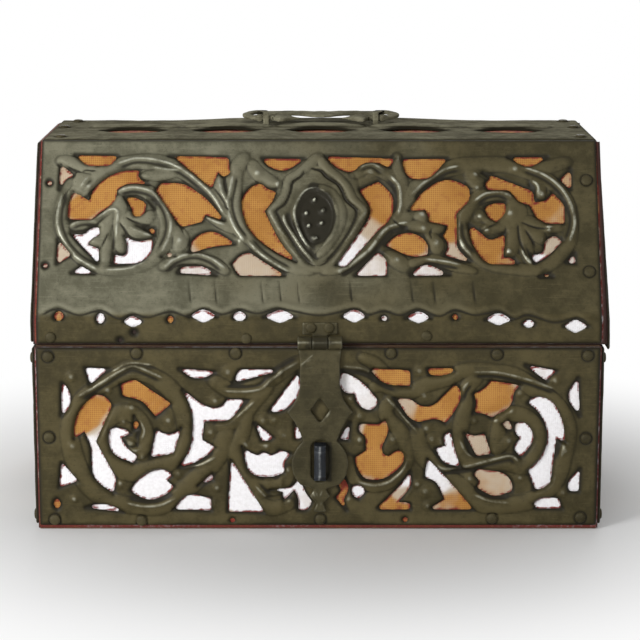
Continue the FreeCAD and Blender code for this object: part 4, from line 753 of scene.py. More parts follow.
def curve_points(line, step=0.35):
    """A listed line, rounded through its places and divided finely."""
    points = [np.array(p, float) for p in line]
    ends = [2 * points[0] - points[1]] + points + [2 * points[-1] - points[-2]]
    out = []
    for a, b, c, d in zip(ends, ends[1:], ends[2:], ends[3:]):
        pieces = max(2, int(np.linalg.norm((c - b)[:2]) / step))
        for i in range(pieces):
            t = i / pieces
            out.append(0.5 * (2 * b + (c - a) * t + (2 * a - 5 * b + 4 * c - d) * t * t
                              + (3 * b - a - 3 * c + d) * t * t * t))
    out.append(points[-1])
    return out


class Paper:
    """Squared paper over a sheet's drawing that holds a height at each of its crossings."""

    GRAIN = 0.25

    def __init__(self, low, high):
        self.low = np.array(low, float)
        shape = ((np.array(high, float) - self.low) / self.GRAIN).astype(int) + 2
        self.heights = np.zeros(shape)

    def press(self, x, y, reach, shape):
        """Raises the paper round one place to a shape of the distance from it, where that is higher."""
        place = np.array([x, y])
        first = np.maximum(((place - reach - self.low) / self.GRAIN).astype(int), 0)
        last = np.minimum(((place + reach - self.low) / self.GRAIN).astype(int) + 2, self.heights.shape)
        if (last <= first).any():
            return
        window = self.heights[first[0]:last[0], first[1]:last[1]]
        across = self.low[0] + self.GRAIN * np.arange(first[0], last[0]) - x
        along = self.low[1] + self.GRAIN * np.arange(first[1], last[1]) - y
        away = np.hypot(across[:, None], along[None, :])
        np.maximum(window, shape(away), out=window)

    def stroke(self, line, shape, reach, taper=8.0):
        """Presses a shape of (distance, half width) along a listed line, fading at both of its ends."""
        points = curve_points(line)
        for i, (x, y, width) in enumerate(points):
            fade = min(1.0, 0.3 + min(i, len(points) - 1 - i) / taper)
            self.press(x, y, reach(width), lambda away: fade * shape(away, width))

    def read(self, columns, rows):
        """Heights between the crossings."""
        x = np.clip((columns - self.low[0]) / self.GRAIN, 0, self.heights.shape[0] - 1.001)
        y = np.clip((rows - self.low[1]) / self.GRAIN, 0, self.heights.shape[1] - 1.001)
        i, j = x.astype(int), y.astype(int)
        x, y = x - i, y - j
        h = self.heights
        return ((h[i, j] * (1 - x) + h[i + 1, j] * x) * (1 - y)
                + (h[i, j + 1] * (1 - x) + h[i + 1, j + 1] * x) * y)


def stem_shape(away, width):
    """A full round stem that melts into the sheet."""
    return np.maximum(0.0, 1.0 - (away / (1.12 * width)) ** 2) ** 0.8


def ridge_shape(away, height):
    """A sharp crest on a broader back."""
    return height * (0.72 * np.exp(-(away / 0.5) ** 2) + 0.28 * np.exp(-(away / 1.4) ** 2))


def crease_shape(away, depth):
    return depth * np.exp(-(away / 0.5) ** 2)


def hollow_shape(away, height):
    return np.exp(-(away / 1.0) ** 2)


def hollow_beside(line, aside=2.0):
    """A listed ridge moved to the inner side of its bend, where the chaser's hollow runs."""
    points = np.array(curve_points(line, 1.2))
    steps = np.diff(points[:, :2], axis=0)
    turning = (steps[:-1, 0] * steps[1:, 1] - steps[:-1, 1] * steps[1:, 0]).sum()
    steps = np.vstack([steps, steps[-1:]])
    lengths = np.maximum(np.linalg.norm(steps, axis=1), 0.001)
    across = np.stack([-steps[:, 1], steps[:, 0]], 1) / lengths[:, None]
    points[:, :2] += math.copysign(aside, turning) * across
    return points


def shade_shape(away, height):
    """The shallow valleys that run beside a ridge, also darkened as painted shade."""
    return np.exp(-((away - 1.7) / 0.75) ** 2)


def swell_shape(away, height):
    """A broad, soft rise."""
    return height * np.exp(-(away / 1.5) ** 2)


def seed_shape(away, width):
    """A small round seed."""
    return np.sqrt(np.maximum(0.0, 1.0 - (away / width) ** 2))


def knob_shape(away, width):
    return np.maximum(0.0, 1.0 - (away / (1.25 * width)) ** 2) ** 1.6


def rim_chains(bm, outs):
    """The rims of a sheet's outer face, round its openings and its border, as chains of corners.

    A rim is an edge with nothing of the sheet beyond it; the steps of an embossed field are none.
    """
    skin = BVHTree.FromBMesh(bm)
    beside = {}
    for e in bm.edges:
        if len(e.link_faces) != 2:
            continue
        for face, wall in (list(e.link_faces), list(e.link_faces)[::-1]):
            out = next((out for out in outs if face.normal.dot(out) > 0.8), None)
            if out is None or any(wall.normal.dot(other) > 0.8 for other in outs):
                continue
            beyond = (e.verts[0].co + e.verts[1].co) / 2 + wall.normal * 0.4 * MM + out * 10 * MM
            if skin.ray_cast(beyond, -out, 13 * MM)[0] is None:
                a, b = e.verts
                beside.setdefault(a.index, []).append(b.index)
                beside.setdefault(b.index, []).append(a.index)
    ends = [v for v, others in beside.items() if len(others) != 2]
    left = set(beside) - set(ends)

    def walk(chain, step):
        """Goes on along a rim while it has only one way on, and says where it stopped."""
        while step in left:
            left.discard(step)
            a, b = beside[step]
            chain.append(step)
            step = b if a == chain[-2] else a
        return step

    chains = []
    for end in ends:
        for step in beside[end]:
            chain = [end]
            last = walk(chain, step)
            if len(chain) > 1 or end < last:
                chains.append((chain + [last], False))
    while left:
        chain = [left.pop()]
        walk(chain, beside[chain[0]][0])
        chains.append((chain, True))
    return [([bm.verts[i].co.copy() for i in chain], closed) for chain, closed in chains]


# A corner of an opening that turns by more than this stays sharp, and a side that is longer than this, or
# runs level or upright for the second length, stays straight.
SHARP = math.radians(62)
LONG_SIDE = 17 * MM
BAR_SIDE = 5 * MM
SAME_PLACE = 0.02 * MM


def rounded(chain, closed, plane):
    """Fine points along a chain of corners, and their shifts to a flowing line through the corners."""
    places, shifts = [], []
    corners = chain + chain[:1] if closed else chain
    apart = [(b - a).length > SAME_PLACE for a, b in zip(corners, corners[1:])]
    corners = corners[:1] + [corner for corner, is_apart in zip(corners[1:], apart) if is_apart]
    sides = [b - a for a, b in zip(corners, corners[1:])]
    count = len(sides)

    def stays_straight(side):
        """Whether a side runs along the sheet's border bars, or is a long one."""
        slant = min(abs(side.dot(Vector(plane.right))), abs(side.dot(Vector(plane.up))))
        return side.length > LONG_SIDE or (side.length > BAR_SIDE and slant < 0.06 * side.length)

    def heading(i, side):
        """The flowing line's direction at a corner; sharp corners and long sides keep their own."""
        if not closed and i in (0, count):
            return side.normalized()
        before, after = sides[(i - 1) % count], sides[i % count]
        if before.angle(after, 0.0) > SHARP:
            return side.normalized()
        straight = [s for s in (before, after) if stays_straight(s)]
        if straight:
            return straight[0].normalized()
        return (before.normalized() * after.length + after.normalized() * before.length).normalized()

    for i, side in enumerate(sides):
        a, b = corners[i], corners[i + 1]
        start, end = heading(i, side) * side.length, heading(i + 1, side) * side.length
        if stays_straight(side):
            start, end = side, side
        pieces = max(1, int(side.length / (0.3 * MM)))
        for k in range(pieces):
            s = k / pieces
            straight = a.lerp(b, s)
            flowing = (a * (2 * s ** 3 - 3 * s ** 2 + 1) + start * (s ** 3 - 2 * s ** 2 + s)
                       + b * (3 * s ** 2 - 2 * s ** 3) + end * (s ** 3 - s ** 2))
            places.append(straight)
            shifts.append(flowing - straight)
    return places, shifts


def point_tree(points):
    tree = kdtree.KDTree(len(points))
    for i, point in enumerate(points):
        tree.insert(point, i)
    tree.balance()
    return tree


def islands(bm):
    """The corners of each separate solid in a mesh."""
    left = set(bm.verts)
    groups = []
    while left:
        rim = [left.pop()]
        found = list(rim)
        while rim:
            for e in rim.pop().link_edges:
                for v in e.verts:
                    if v in left:
                        left.discard(v)
                        rim.append(v)
                        found.append(v)
        groups.append(np.array([v.co[:] for v in found]))
    return groups


def nail_places(node, panel):
    """Where each nail of a CAD node sits on its sheet: its plane, column, row and the foot of its head."""
    bm = merged_copy(node)
    found = []
    for corners in islands(bm):
        middle = corners.mean(0)
        plane = PLANES[panel]
        if panel in RIM_PLANES and middle[2] < FOLD:
            plane = RIM_PLANES[panel]
        column, row, out = plane.read(corners)
        found.append((plane, (column.min() + column.max()) / 2, (row.min() + row.max()) / 2,
                      out.max() - NAIL_HEAD))
    bm.free()
    return found


# Each sheet's openings after their outlines were made to flow, for its cloth's red edges
OUTLINES = {}
INNER_FACE = 0.2 * IRON
CLEAR_OF_OPENINGS = 2.2 * MM
FLOW_REACH = 4 * MM
FLOW_SPREAD = 1.5 * MM


def sheet_skin(name, plane, rim, voxel):
    """A sheet's skin, thinned where it is hidden, with its openings' outlines and how far they shift."""
    bm = merged_copy(name + "_panel")
    bm.verts.ensure_lookup_table()
    outs = [Vector(p.out) for p in (plane, rim) if p]
    straight, shifts = [], []
    for chain, closed in rim_chains(bm, outs):
        more, more_shifts = rounded(chain, closed, plane)
        straight += more
        shifts += more_shifts
    straight_tree = point_tree(straight)
    OUTLINES[name] = point_tree([a + b for a, b in zip(straight, shifts)])
    mesh = even_skin(bm, name + "_panel_chased", voxel)
    out = plane.read(coordinates(mesh))[2]
    if rim:
        out = np.maximum(out, rim.read(coordinates(mesh))[2])
    hidden = out < INNER_FACE
    for i in np.nonzero(hidden)[0]:
        hidden[i] = straight_tree.find(mesh.vertices[i].co)[2] > CLEAR_OF_OPENINGS
    return thinned(mesh, hidden), straight_tree, shifts


def outward(places, plane, rim):
    """For each corner: how far out it lies, which way out is, and whether it is on the folded rim."""
    out = plane.read(places)[2]
    normal = np.tile(plane.out, (len(places), 1))
    on_rim = np.zeros(len(places))
    if rim:
        rim_out = rim.read(places)[2]
        on_rim = smoothstep(rim_out - out, -0.3 * MM, 0.3 * MM)
        normal = normal * (1 - on_rim)[:, None] + rim.out * on_rim[:, None]
        normal = normal / np.linalg.norm(normal, axis=1)[:, None]
        out = np.maximum(out, rim_out)
    return out, normal, on_rim


def flowing_openings(places, ends, out, normal, straight_tree, shifts):
    """Openings flow from corner to corner, and smoothing stays within the sheet."""
    raised = places + normal * (IRON - out)[:, None]
    for i, top in enumerate(raised):
        ignore, k, away = straight_tree.find(top)
        if away < FLOW_REACH:
            places[i] += np.array(shifts[k]) * math.exp(-(away / FLOW_SPREAD) ** 2)
    for step in range(4):
        move = neighbour_mean(places, ends) - places
        move = move - normal * (move * normal).sum(1)[:, None]
        places = places + 0.5 * move
    return places


def drawn(name, column, row, stems, ridges, knobs, grooves, swells, seeds):
    """What the drawing gives each corner, one array for each kind of mark."""
    corners = (column.min() - 1, row.min() - 1), (column.max() + 1, row.max() + 1)
    papers = [Paper(*corners) for k in range(9)]
    (stem_paper, ridge_paper, shade_paper, hollow_paper, knob_paper, groove_paper, nail_paper, swell_paper,
     seed_paper) = papers
    for line in stems:
        stem_paper.stroke(line, stem_shape, lambda width: 1.12 * width)
    for line in ridges:
        ridge_paper.stroke(line, ridge_shape, lambda width: 3.4)
        shade_paper.stroke(line, shade_shape, lambda width: 3.6)
        hollow_paper.stroke(hollow_beside(line), hollow_shape, lambda width: 2.4)
    for line in grooves:
        groove_paper.stroke(line, crease_shape, lambda width: 1.6)
    for line in swells:
        swell_paper.stroke(line, swell_shape, lambda width: 4.0)
    for x, y, width in knobs:
        knob_paper.press(x, y, 1.25 * width, lambda away: knob_shape(away, width))
    for x, y, width in seeds:
        seed_paper.press(x, y, width, lambda away: seed_shape(away, width))
    for nail_plane, x, y, foot in nail_places(name + "_nails", name):
        if nail_plane is PLANES[name]:
            nail_paper.press(x, y, 4.5, lambda away: np.exp(-((away - 2.6) / 0.5) ** 2))
    return [paper.read(column, row) for paper in papers]


def chased_panel(name, finish, voxel, stems, ridges=(), knobs=(), grooves=(), patches=(), rise=0.9,
                 edge_drop=0.7, low=None, pale=None, swells=(), seeds=(), bow=None):
    """A pierced sheet with its scrollwork raised from behind and chased: stems, ridges and bosses."""
    plane, rim = PLANES[name], RIM_PLANES.get(name)
    mesh, straight_tree, shifts = sheet_skin(name, plane, rim, voxel)
    edge_tree = OUTLINES[name]
    places, ends = coordinates(mesh), edge_ends(mesh)
    out, normal, on_rim = outward(places, plane, rim)
    places = flowing_openings(places, ends, out, normal, straight_tree, shifts)

    # Heights over the flat sheet, in millimetres
    column, row, ignore = plane.read(places)
    stem, ridge, shade, hollow, knob, groove, nail_ring, swell, seed = drawn(
        name, column, row, stems, ridges, knobs, grooves, swells, seeds)
    hollow = hollow * (1 - np.minimum(1.0, 2 * ridge))
    value = rise * stem + 1.25 * ridge + 0.7 * knob - groove - 0.2 * nail_ring + swell + 0.6 * seed
    value = value - 0.15 * shade * (1 - ridge) - 0.45 * hollow
    if low:
        near = smoothstep(-np.abs(column - low[0]), -low[1] - 1.5, -low[1] + 0.5)
        value = value * (1.0 - (1.0 - low[2]) * near)
    outer = np.clip(out / IRON, 0.0, 1.0)
    edge = np.zeros(len(places))
    dent = np.zeros(len(places))
    for i in np.nonzero(outer > 0.3)[0]:
        edge[i] = edge_tree.find(places[i])[2] / MM
        spot = Vector(places[i])
        dent[i] = noise.noise(spot * 90.0) * 0.16 + noise.noise(spot * 240.0) * 0.07
    turned = np.exp(-(edge / 0.9) ** 2)
    shoulder = 0.8 * turned + 0.2 * np.exp(-(edge / 2.2) ** 2) * (value > 0.0)
    dent = dent * np.minimum(1.0, edge / 2.0)
    height = (value * (1.0 - 0.9 * shoulder) - edge_drop * turned + dent) * outer
    if bow:
        height = height + bow(column, row)
    places = places + normal * (height * MM)[:, None]
    move_corners(mesh, places)

    # What the iron's finish reads: crests rubbed bright with painted highlights along the ridges and painted
    # glints on knobs and seeds; painted shade and dark patina in valleys, creases, hollows, on flanks, at
    # rims and round nails; lighter and darker patches
    rub = smoothstep(edge, 0.7, 1.8)
    bulge = wear_of(mesh, places, ends, 0.30 * MM * voxel / (0.7 * MM))
    # Painted highlights: a bright line along each ridge and a small glint on each knob and seed; grooves go
    # dark as painted shade.
    crest = 2.0 * ridge - 0.1 + 0.2 * knob ** 2 + 0.9 * knob ** 9 + 0.85 * seed ** 9 - 1.3 * groove
    crest = np.clip(crest, -1.0, 1.0)
    wear_and_highlight = 0.5 + (np.maximum(bulge - 0.5, 0.0) * 0.8 + 0.42 * np.maximum(crest, 0.0)) * rub
    wear_and_highlight = wear_and_highlight + np.minimum(bulge - 0.5, 0.0) - 0.3 * np.maximum(-crest, 0.0)
    attribute(mesh, "wear_and_highlight", np.clip(wear_and_highlight, 0.0, 1.0))
    # Painted light and shade: higher parts lighter; darker on the stems' flanks, towards the openings' rims,
    # in grooves and hollows, beside ridges and round the nails, with dark patina there too; the lip's swell
    # and the seeds are painted lighter as highlights.
    flank = np.exp(-((stem - 0.22) / 0.2) ** 2) * (stem > 0.01)
    relief = 0.5 + 0.3 * (value - swell) - 0.5 * np.exp(-(edge / 1.35) ** 2)
    relief = relief - 0.4 * nail_ring - 1.1 * groove
    relief = relief - 0.32 * flank - 0.15 * shade * (1 - ridge) - 0.5 * hollow + 0.5 * swell
    blots = noise_over(places, 190.0) if patches else 0.0
    # Listed patches: hammer tone, with painted shade and painted light among them.
    for x, y, half_across, half_up, amount in patches:
        away = np.hypot((column - x) / half_across, (row - y) / half_up)
        inner, outer = (0.65, 1.1) if amount < -0.6 else (0.1, 1.5)
        relief = relief + amount * (1.0 - smoothstep(away + 0.25 * blots, inner, outer))
    relief = relief + 0.25 * seed
    attribute(mesh, "relief", np.clip(relief, 0.0, 1.0))
    # A paler grey patina on the slope above the fold, the sheet's own; its fade towards one end of the sheet
    # is painted light, darker where the lamp light falls off.
    if pale:
        spread = noise_over(places, 60.0) * 0.35
        share = 1.0 - smoothstep(column / 120.0 + spread, *pale) * 0.92
        attribute(mesh, "pale", np.clip(share, 0.0, 1.0) * (1.0 - on_rim) * smoothstep(row, 1.0, 4.5))
    body = name.split("_")[0]
    add_piece(name + "_panel_chased", mesh, body, [name + "_panel"], finish)


def top_bow(column, row):
    """How far the top sheet has sprung up behind the handle, most at its back edge, in millimetres."""
    along = 0.55 * smoothstep(row, -20.0, 14.0) + 0.75 * smoothstep(row, 31.5, 36.5)
    return along * smoothstep(-np.abs(column), -74.0, -30.0)


def scroll_lines(x0, y0, width, height, mirrored):
    """The running scroll's stems fitted on a sheet, as the openings are."""
    across = width / 68.0
    along = height / 66.0
    sign = -1.0 if mirrored else 1.0
    start = x0 + width if mirrored else x0

    def fitted(line):
        return [(start + sign * x * across, y0 + y * along, half * along) for x, y, half in line]

    return [fitted(line) for line in SCROLL_STEMS]


def crests(stems, height=0.45):
    """A soft crest along the middle of each stem."""
    return [[(x, y, height) for x, y, width in line] for line in stems]


BODY_BACK_STEMS = scroll_lines(1.0, 5.5, 112.0, 67.8, True) + scroll_lines(-113.0, 5.5, 112.0, 67.8, False)
BODY_END_STEMS = scroll_lines(-65.7, 5.5, 64.7, 67.8, False) + scroll_lines(1.0, 5.5, 64.7, 67.8, True)
LID_BACK_STEMS = scroll_lines(1.0, 19.7, 111.9, 56.7, True) + scroll_lines(-112.9, 19.7, 111.9, 56.7, False)
LID_END_STEMS = scroll_lines(1.0, 10.0, 44.8, 41.5, True) + scroll_lines(-45.8, 10.0, 44.8, 41.5, False)

chased_panel("body_front", BODY_IRON, 0.51 * MM, BODY_FRONT_STEMS, BODY_FRONT_RIDGES, BODY_FRONT_KNOBS,
             patches=BODY_FRONT_PATCHES, rise=1.05, edge_drop=0.65, low=(0.8, 15.5, 0.3))
chased_panel("lid_front", LID_IRON, 0.6 * MM, LID_FRONT_STEMS, LID_FRONT_RIDGES, LID_FRONT_KNOBS,
             LID_FRONT_GROOVES, LID_FRONT_PATCHES, 1.1, 0.75, pale=(-0.7, 0.6), swells=LID_FRONT_SWELLS,
             seeds=SEEDS)
chased_panel("lid_top", TOP_IRON, 0.7 * MM, TOP_STEMS, patches=TOP_PAINTED_SHADE, bow=top_bow)
chased_panel("body_back", BODY_IRON, 0.8 * MM, BODY_BACK_STEMS, crests(BODY_BACK_STEMS), rise=0.85)
chased_panel("lid_back", LID_IRON, 0.8 * MM, LID_BACK_STEMS, crests(LID_BACK_STEMS), rise=0.85,
             pale=(-0.6, 1.2))
for side in ("left", "right"):
    chased_panel("body_" + side, BODY_IRON, 0.8 * MM, BODY_END_STEMS, crests(BODY_END_STEMS), rise=0.8)
    chased_panel("lid_" + side, BODY_IRON, 0.8 * MM, LID_END_STEMS, crests(LID_END_STEMS), rise=0.75)


# Forgings and nails

# Bright marks on the hasp: scratches rubbed bright at its top, painted glints round its lozenge, and chisel
# cuts at its tip painted as highlights: (across, height, depth)
HASP_MARKS = [
    [(-7.4, 73.1, 0.5), (-2.0, 78.0, 0.7)], [(-5.3, 74.5, 0.6), (-2.5, 76.2, 0.5)],
    [(-10.1, 76.9, 0.4), (-9.0, 74.0, 0.4)], [(2.9, 76.3, 0.4), (4.5, 75.4, 0.4)],
    [(-9.2, 68.8, 0.4), (-7.4, 66.6, 0.3)], [(-11.5, 79.2, 0.3), (-3.5, 79.6, 0.3)],
    [(-6.2, 71.4, 0.3), (-1.6, 72.6, 0.3)], [(5.5, 78.6, 0.3), (10.8, 79.0, 0.3)],
    [(3.6, 50.4, 0.5), (5.2, 53.2, 0.6)], [(0.4, 46.2, 0.5), (2.0, 46.8, 0.5)],
    [(-2.5, 17.8, 0.7), (-1.2, 15.2, 0.6)], [(-1.0, 17.8, 0.6), (-0.2, 15.4, 0.6)],
    [(1.8, 18.2, 0.7), (0.6, 15.4, 0.6)], [(-1.6, 13.2, 0.5), (-0.4, 11.4, 0.5)],
    [(1.6, 13.4, 0.5), (0.8, 11.4, 0.5)],
]


# Painted highlights on the staple: a bright line down its front and a glint at its lower end: (across,
# height, depth)
STAPLE_HIGHLIGHTS = [
    [(0.4, 23.5, 0.4), (0.8, 28, 0.6), (0.6, 33, 0.4), (0.9, 39.5, 0.7)],
    [(0.0, 22.0, 0.9), (1.6, 22.2, 0.7)],
]
# Painted highlights along the front of the hinge barrel: (across, height, depth)
BARREL_HIGHLIGHTS = [
    [(-9.6, 83.8, 0.42), (-6.0, 84.0, 0.55), (-3.4, 83.8, 0.4)], [(-2.6, 83.9, 0.25), (4.0, 83.9, 0.3)],
    [(5.2, 83.8, 0.4), (7.8, 84.0, 0.55), (11.0, 83.8, 0.45)],
]


STAPLE_MIDDLE = 31
STAPLE_COLUMN = 0.8 * MM
STAPLE_HALF_WIDTH = 2.5 * MM


def hasp_tone(places):
    """Paler at the hammered top of the strap, dark on the barrel, and with a painted shadow right of the
    staple in its slot.
    """
    across, height = places[:, 0] / MM, places[:, 2] / MM
    spots = noise_over(places, 420.0)
    pale = 0.45 * smoothstep(height, 62, 76) * np.clip(0.5 + spots, 0, 1)
    # Painted shadow cast by the staple on the right of its slot.
    slot = smoothstep(across, 2.6, 3.4) * smoothstep(-across, -6.6, -5.2)
    slot = slot * smoothstep(-np.abs(height - STAPLE_MIDDLE), -9.4, -8.2)
    return 0.5 + pale - 0.3 * smoothstep(height, 79.6, 80.6) - 0.4 * slot


def leaf_tone(places):
    """As dark on its knuckle as the hasp's barrel."""
    return 0.6 - 0.4 * smoothstep(-places[:, 2] / MM, -86.6, -85.4)


def ridged(places):
    """The staple's bar with a blunt, rounded ridge down its front."""
    side = np.abs(places[:, 0] - STAPLE_COLUMN) / STAPLE_HALF_WIDTH
    places[:, 1] += 1.5 * MM * side ** 1.6 * smoothstep(-places[:, 1], 80 * MM, 81.5 * MM)
    return places


BAIL_PIVOT = np.array([1.2, 12.0, 168.4]) * MM
BAIL_TILT = math.radians(4.0)
BAIL_NEW_TILT = math.radians(2.2)
BAIL_FAR_EDGE = 26.8 * MM
LEAF_ROOT = 21.5 * MM
LEAF_TIP = 11.0 * MM


def tipped(y, z, angle):
    """A place turned about the bail's pivot."""
    return y * math.cos(angle) - z * math.sin(angle), z * math.cos(angle) + y * math.sin(angle)


def flat_bail(places):
    """The bail hammered to a flat band that lies low, with pointed leaves at its inner ends."""
    x, y, z = (places - BAIL_PIVOT).T
    y, z = tipped(y, z, -BAIL_TILT)
    beyond_eye = smoothstep(np.abs(x), 27.5 * MM, 31 * MM)
    z = z * (1 - 0.5 * np.maximum(smoothstep(y, 4 * MM, 12 * MM), beyond_eye))
    middle = 1 - smoothstep(np.abs(x), 24 * MM, 33 * MM)
    tongue = 1.5 + 1.6 * np.exp(-(x / (8 * MM)) ** 2)
    y = y - np.maximum(BAIL_FAR_EDGE - y, 0.0) * tongue * middle * (y > 20 * MM)
    along = np.clip((np.abs(x) - LEAF_TIP) / (LEAF_ROOT - LEAF_TIP), 0.0, 1.0)
    leaf = (np.abs(x) < LEAF_ROOT) & (y < 5 * MM)
    swell = 0.12 + 1.15 * np.sin(math.pi * (0.06 + 0.74 * along))
    y, z = y * np.where(leaf, 2.3 * swell, 1.0), z * np.where(leaf, 0.8 * swell, 1.0)
    return np.stack([x, *tipped(y, z, BAIL_NEW_TILT)], 1) + BAIL_PIVOT


forge("hasp", "hasp", FORGED_IRON, 0.45 * MM, marks=HASP_MARKS + BARREL_HIGHLIGHTS, tone=hasp_tone)
forge("hasp_staple", "body", STAPLE_IRON, 0.4 * MM, shaped=ridged, marks=STAPLE_HIGHLIGHTS)
forge("hasp_leaf", "lid", FORGED_IRON, 0.4 * MM, marks=BARREL_HIGHLIGHTS, tone=leaf_tone)
forge("handle", "handle", TOP_IRON, 0.45 * MM, 4, shaped=flat_bail)
forge("handle_eyes", "lid", TOP_IRON, 0.35 * MM)
forge("hinge_straps", "body", FORGED_IRON, 0.5 * MM)
forge("hinge_leaves", "lid", FORGED_IRON, 0.5 * MM)


# A nail head's outline: (radius, height above the sheet), in millimetres
NAIL_PROFILE = [(0.0, -0.4), (2.25, -0.4), (2.3, 0.25), (2.1, 0.62), (1.55, 0.86), (0.8, 0.98), (0.0, 1.0)]


def nail_heads(node, panel):
    """Flat wrought heads, turned from one profile and a little uneven, in place of a CAD node's nails."""
    bm = bmesh.new()
    for plane, column, row, foot in nail_places(node, panel):
        if panel == "lid_top":
            foot += top_bow(column, row) * MM
        near = noise.noise(Vector((column, row, foot)) * 3.7)
        corners = [bm.verts.new((r * MM * (1 + 0.06 * near), 0.0, h * MM)) for r, h in NAIL_PROFILE]
        edges = [bm.edges.new(pair) for pair in zip(corners, corners[1:])]
        bmesh.ops.spin(bm, geom=corners + edges, cent=(0, 0, 0), axis=(0, 0, 1), dvec=(0, 0, 0),
                       angle=2 * math.pi, steps=24, use_merge=True)
        for v in [v for v in bm.verts if not v.tag]:
            x, y, z = v.co
            swell = 1 + 0.05 * noise.noise(Vector((x * 900, y * 900, column)))
            place = plane.point(column, row, foot + z)
            v.co = Vector(place) + Vector(plane.right) * x * swell + Vector(plane.up) * y * swell
            v.tag = True
    bmesh.ops.remove_doubles(bm, verts=bm.verts, dist=0.00001)
    bmesh.ops.recalc_face_normals(bm, faces=bm.faces)
    mesh = smooth_mesh(node + "_heads", bm)
    attribute(mesh, "wear_and_highlight", np.full(len(mesh.vertices), 0.56))
    attribute(mesh, "relief", np.full(len(mesh.vertices), 0.55))
    add_piece(node + "_heads", mesh, panel.split("_")[0], [node], NAIL_IRON)


for panel in PLANES:
    nail_heads(panel + "_nails", panel)
nail_heads("hasp_leaf_rivets", "lid_front")
nail_heads("hinge_strap_rivets", "body_back")
nail_heads("hinge_leaf_rivets", "lid_back")


# Cloth

# Where the cloth is worn: (column, row, -1 red, 0 orange, 1 white), the nearest places count most
BODY_WORN = [
    (-107, 55, 1), (-96, 66, 1), (-98, 52, 0), (-101, 44, 0), (-97.5, 36, 0.8), (-96, 25, 1),
    (-91, 18, 1), (-84, 58, 0.0), (-76, 59, 0.05), (-67, 53, 0.08), (-85, 40, 1), (-82, 30, 1),
    (-66, 37, 1), (-71, 17, 1), (-108, 21, 1), (-92, 8, 1), (-52, 67, 1), (-55, 50, 1), (-52, 32, 1),
    (-42, 50, 1), (-48, 19, 0.9), (-52, 9, 1), (-28, 65, 1), (-14, 60, 1), (-24, 42, 1), (-9, 41, 1),
    (-22, 27, 1), (-34, 14, 1), (-6, 12, 0.75), (-14, 15, 0.9), (17, 60, 0.75), (22, 53, 0.7),
    (31, 65, 0), (12, 41, 1), (24, 40, 0), (24, 27, 0), (33, 27, 0), (17, 15, 0.9), (10.6, 19, -0.9),
    (10.2, 13, -0.35), (38, 52, 0.35), (46, 50, 0), (56, 55, 0), (30, 8, 0.1), (38, 14, 0.4),
    (38, 20, 0.75), (52, 67.5, 0), (75, 56, 0), (97, 50, 1), (98, 30, 1), (95, 20, 1), (68, 36, 0.4),
    (88, 38, 1), (80, 44, 0.5), (75, 19, 0.3), (56, 34, 0.8), (52, 32, 0.85), (48, 24, 1), (53, 17, 0.75),
    (56, 11, 0.15), (63, 8, 0.05), (95, 68, 0.75), (109, 57, 0.8), (110, 20, 0.9), (99, 10, 0.95),
    (-112.5, 9.5, -0.5), (-78, 45, -0.6), (-38.6, 2.6, -0.9), (34.2, 2.6, -0.9), (-41, 8, 1),
    (-34.5, 8, 1), (110, 71, 0.6),
]
LID_WORN = [
    (-97, 73, 0), (-111, 66, 0.3), (-111, 62, 0.35), (-103, 50, 0), (-88, 64, 0), (-79, 52, 0.05),
    (-73, 53, 0.1), (-100, 36, 1), (-102, 40, 0.8), (-96, 28, 1), (-80, 33, 1), (-86, 28, 1),
    (-73, 40, 0.1), (-73, 33, 1), (-110, 30, 0.4), (-102, 22.5, 1), (-60, 54, 0), (-65, 30, 0.4),
    (-53, 23, 0.65), (-50, 70, 0), (-47, 37, 0), (-16, 72, 0), (-27, 50, 0), (-15, 32, 0.1), (-20, 38, 0),
    (-28, 26, 0.42), (16, 71, 0), (24, 60, 0), (26, 50, 0), (20, 42, 0.35), (16, 36, 0.7), (10, 28, 1),
    (38, 35, 0), (22, 24, 0.62), (45, 22.5, 0.65), (45, 71, 0), (54, 55, 0), (56, 40, 0.05),
    (56, 31, 0.4), (90, 73, 0.05), (84, 64, 0), (98, 52, 0), (103, 48, 0.15), (106, 65, 0.2), (75, 49, 0),
    (70, 34, 0), (80, 27, 0.1), (97, 34, 0.4), (93, 28, 0.8), (107, 28, 0.6), (96.5, 20.5, 0.2),
    (-111.5, 2.4, 0.1), (-93.7, 1.4, 1), (-80, 0, 1), (-64, 1, 0.1), (-50, 2.4, 1), (-34.6, 2.3, 1),
    (-17.5, 2.2, 1), (14.2, 2.3, 1), (27, 1.5, 0.7), (41.5, 1.8, 1), (57.2, 2, 0.1), (75.6, 1, 1),
    (88.5, -0.9, 1), (108.4, -1.9, 1),
]
TOP_WORN = [(-84, 0, 0.1), (-42, 0, 0.1), (0, 0, 0.1), (42, 0, 0.1), (84, 0, 0.05)]
SIDE_WORN = [
    (-50, 20, 0.1), (-20, 60, 0.0), (10, 30, 0.4), (40, 50, 0.05), (55, 15, 0.7), (-60, 50, 0.6),
    (0, 5, 0.1), (-90, 30, 0.05), (90, 40, 0.3), (-100, 60, 0.0), (100, 10, 0.0), (75, 65, 0.1),
]
THREAD = 0.5 * MM
FACE_ABOVE_CLOTH = 1.3 * MM
SEAM = 81.1 * MM
LOST_NAILS = [(-85.5, -8.2, 2.0), (-79.5, -4.6, 2.0)]


def fading(value):
    """1 up to nought, then down to 0 at one."""
    return 1.0 - min(1.0, max(0.0, value))


def nearby_wear(worn_tree, worn, column, row):
    """How worn the cloth is at a place, from the three listed places nearest to it."""
    total_weight = value = 0.0
    for spot, index, away in worn_tree.find_n(Vector((column, row, 0.0)), 3):
        weight = 1.0 / (away + 0.6) ** 4
        total_weight += weight
        value += weight * worn[index][2]
    return value / total_weight


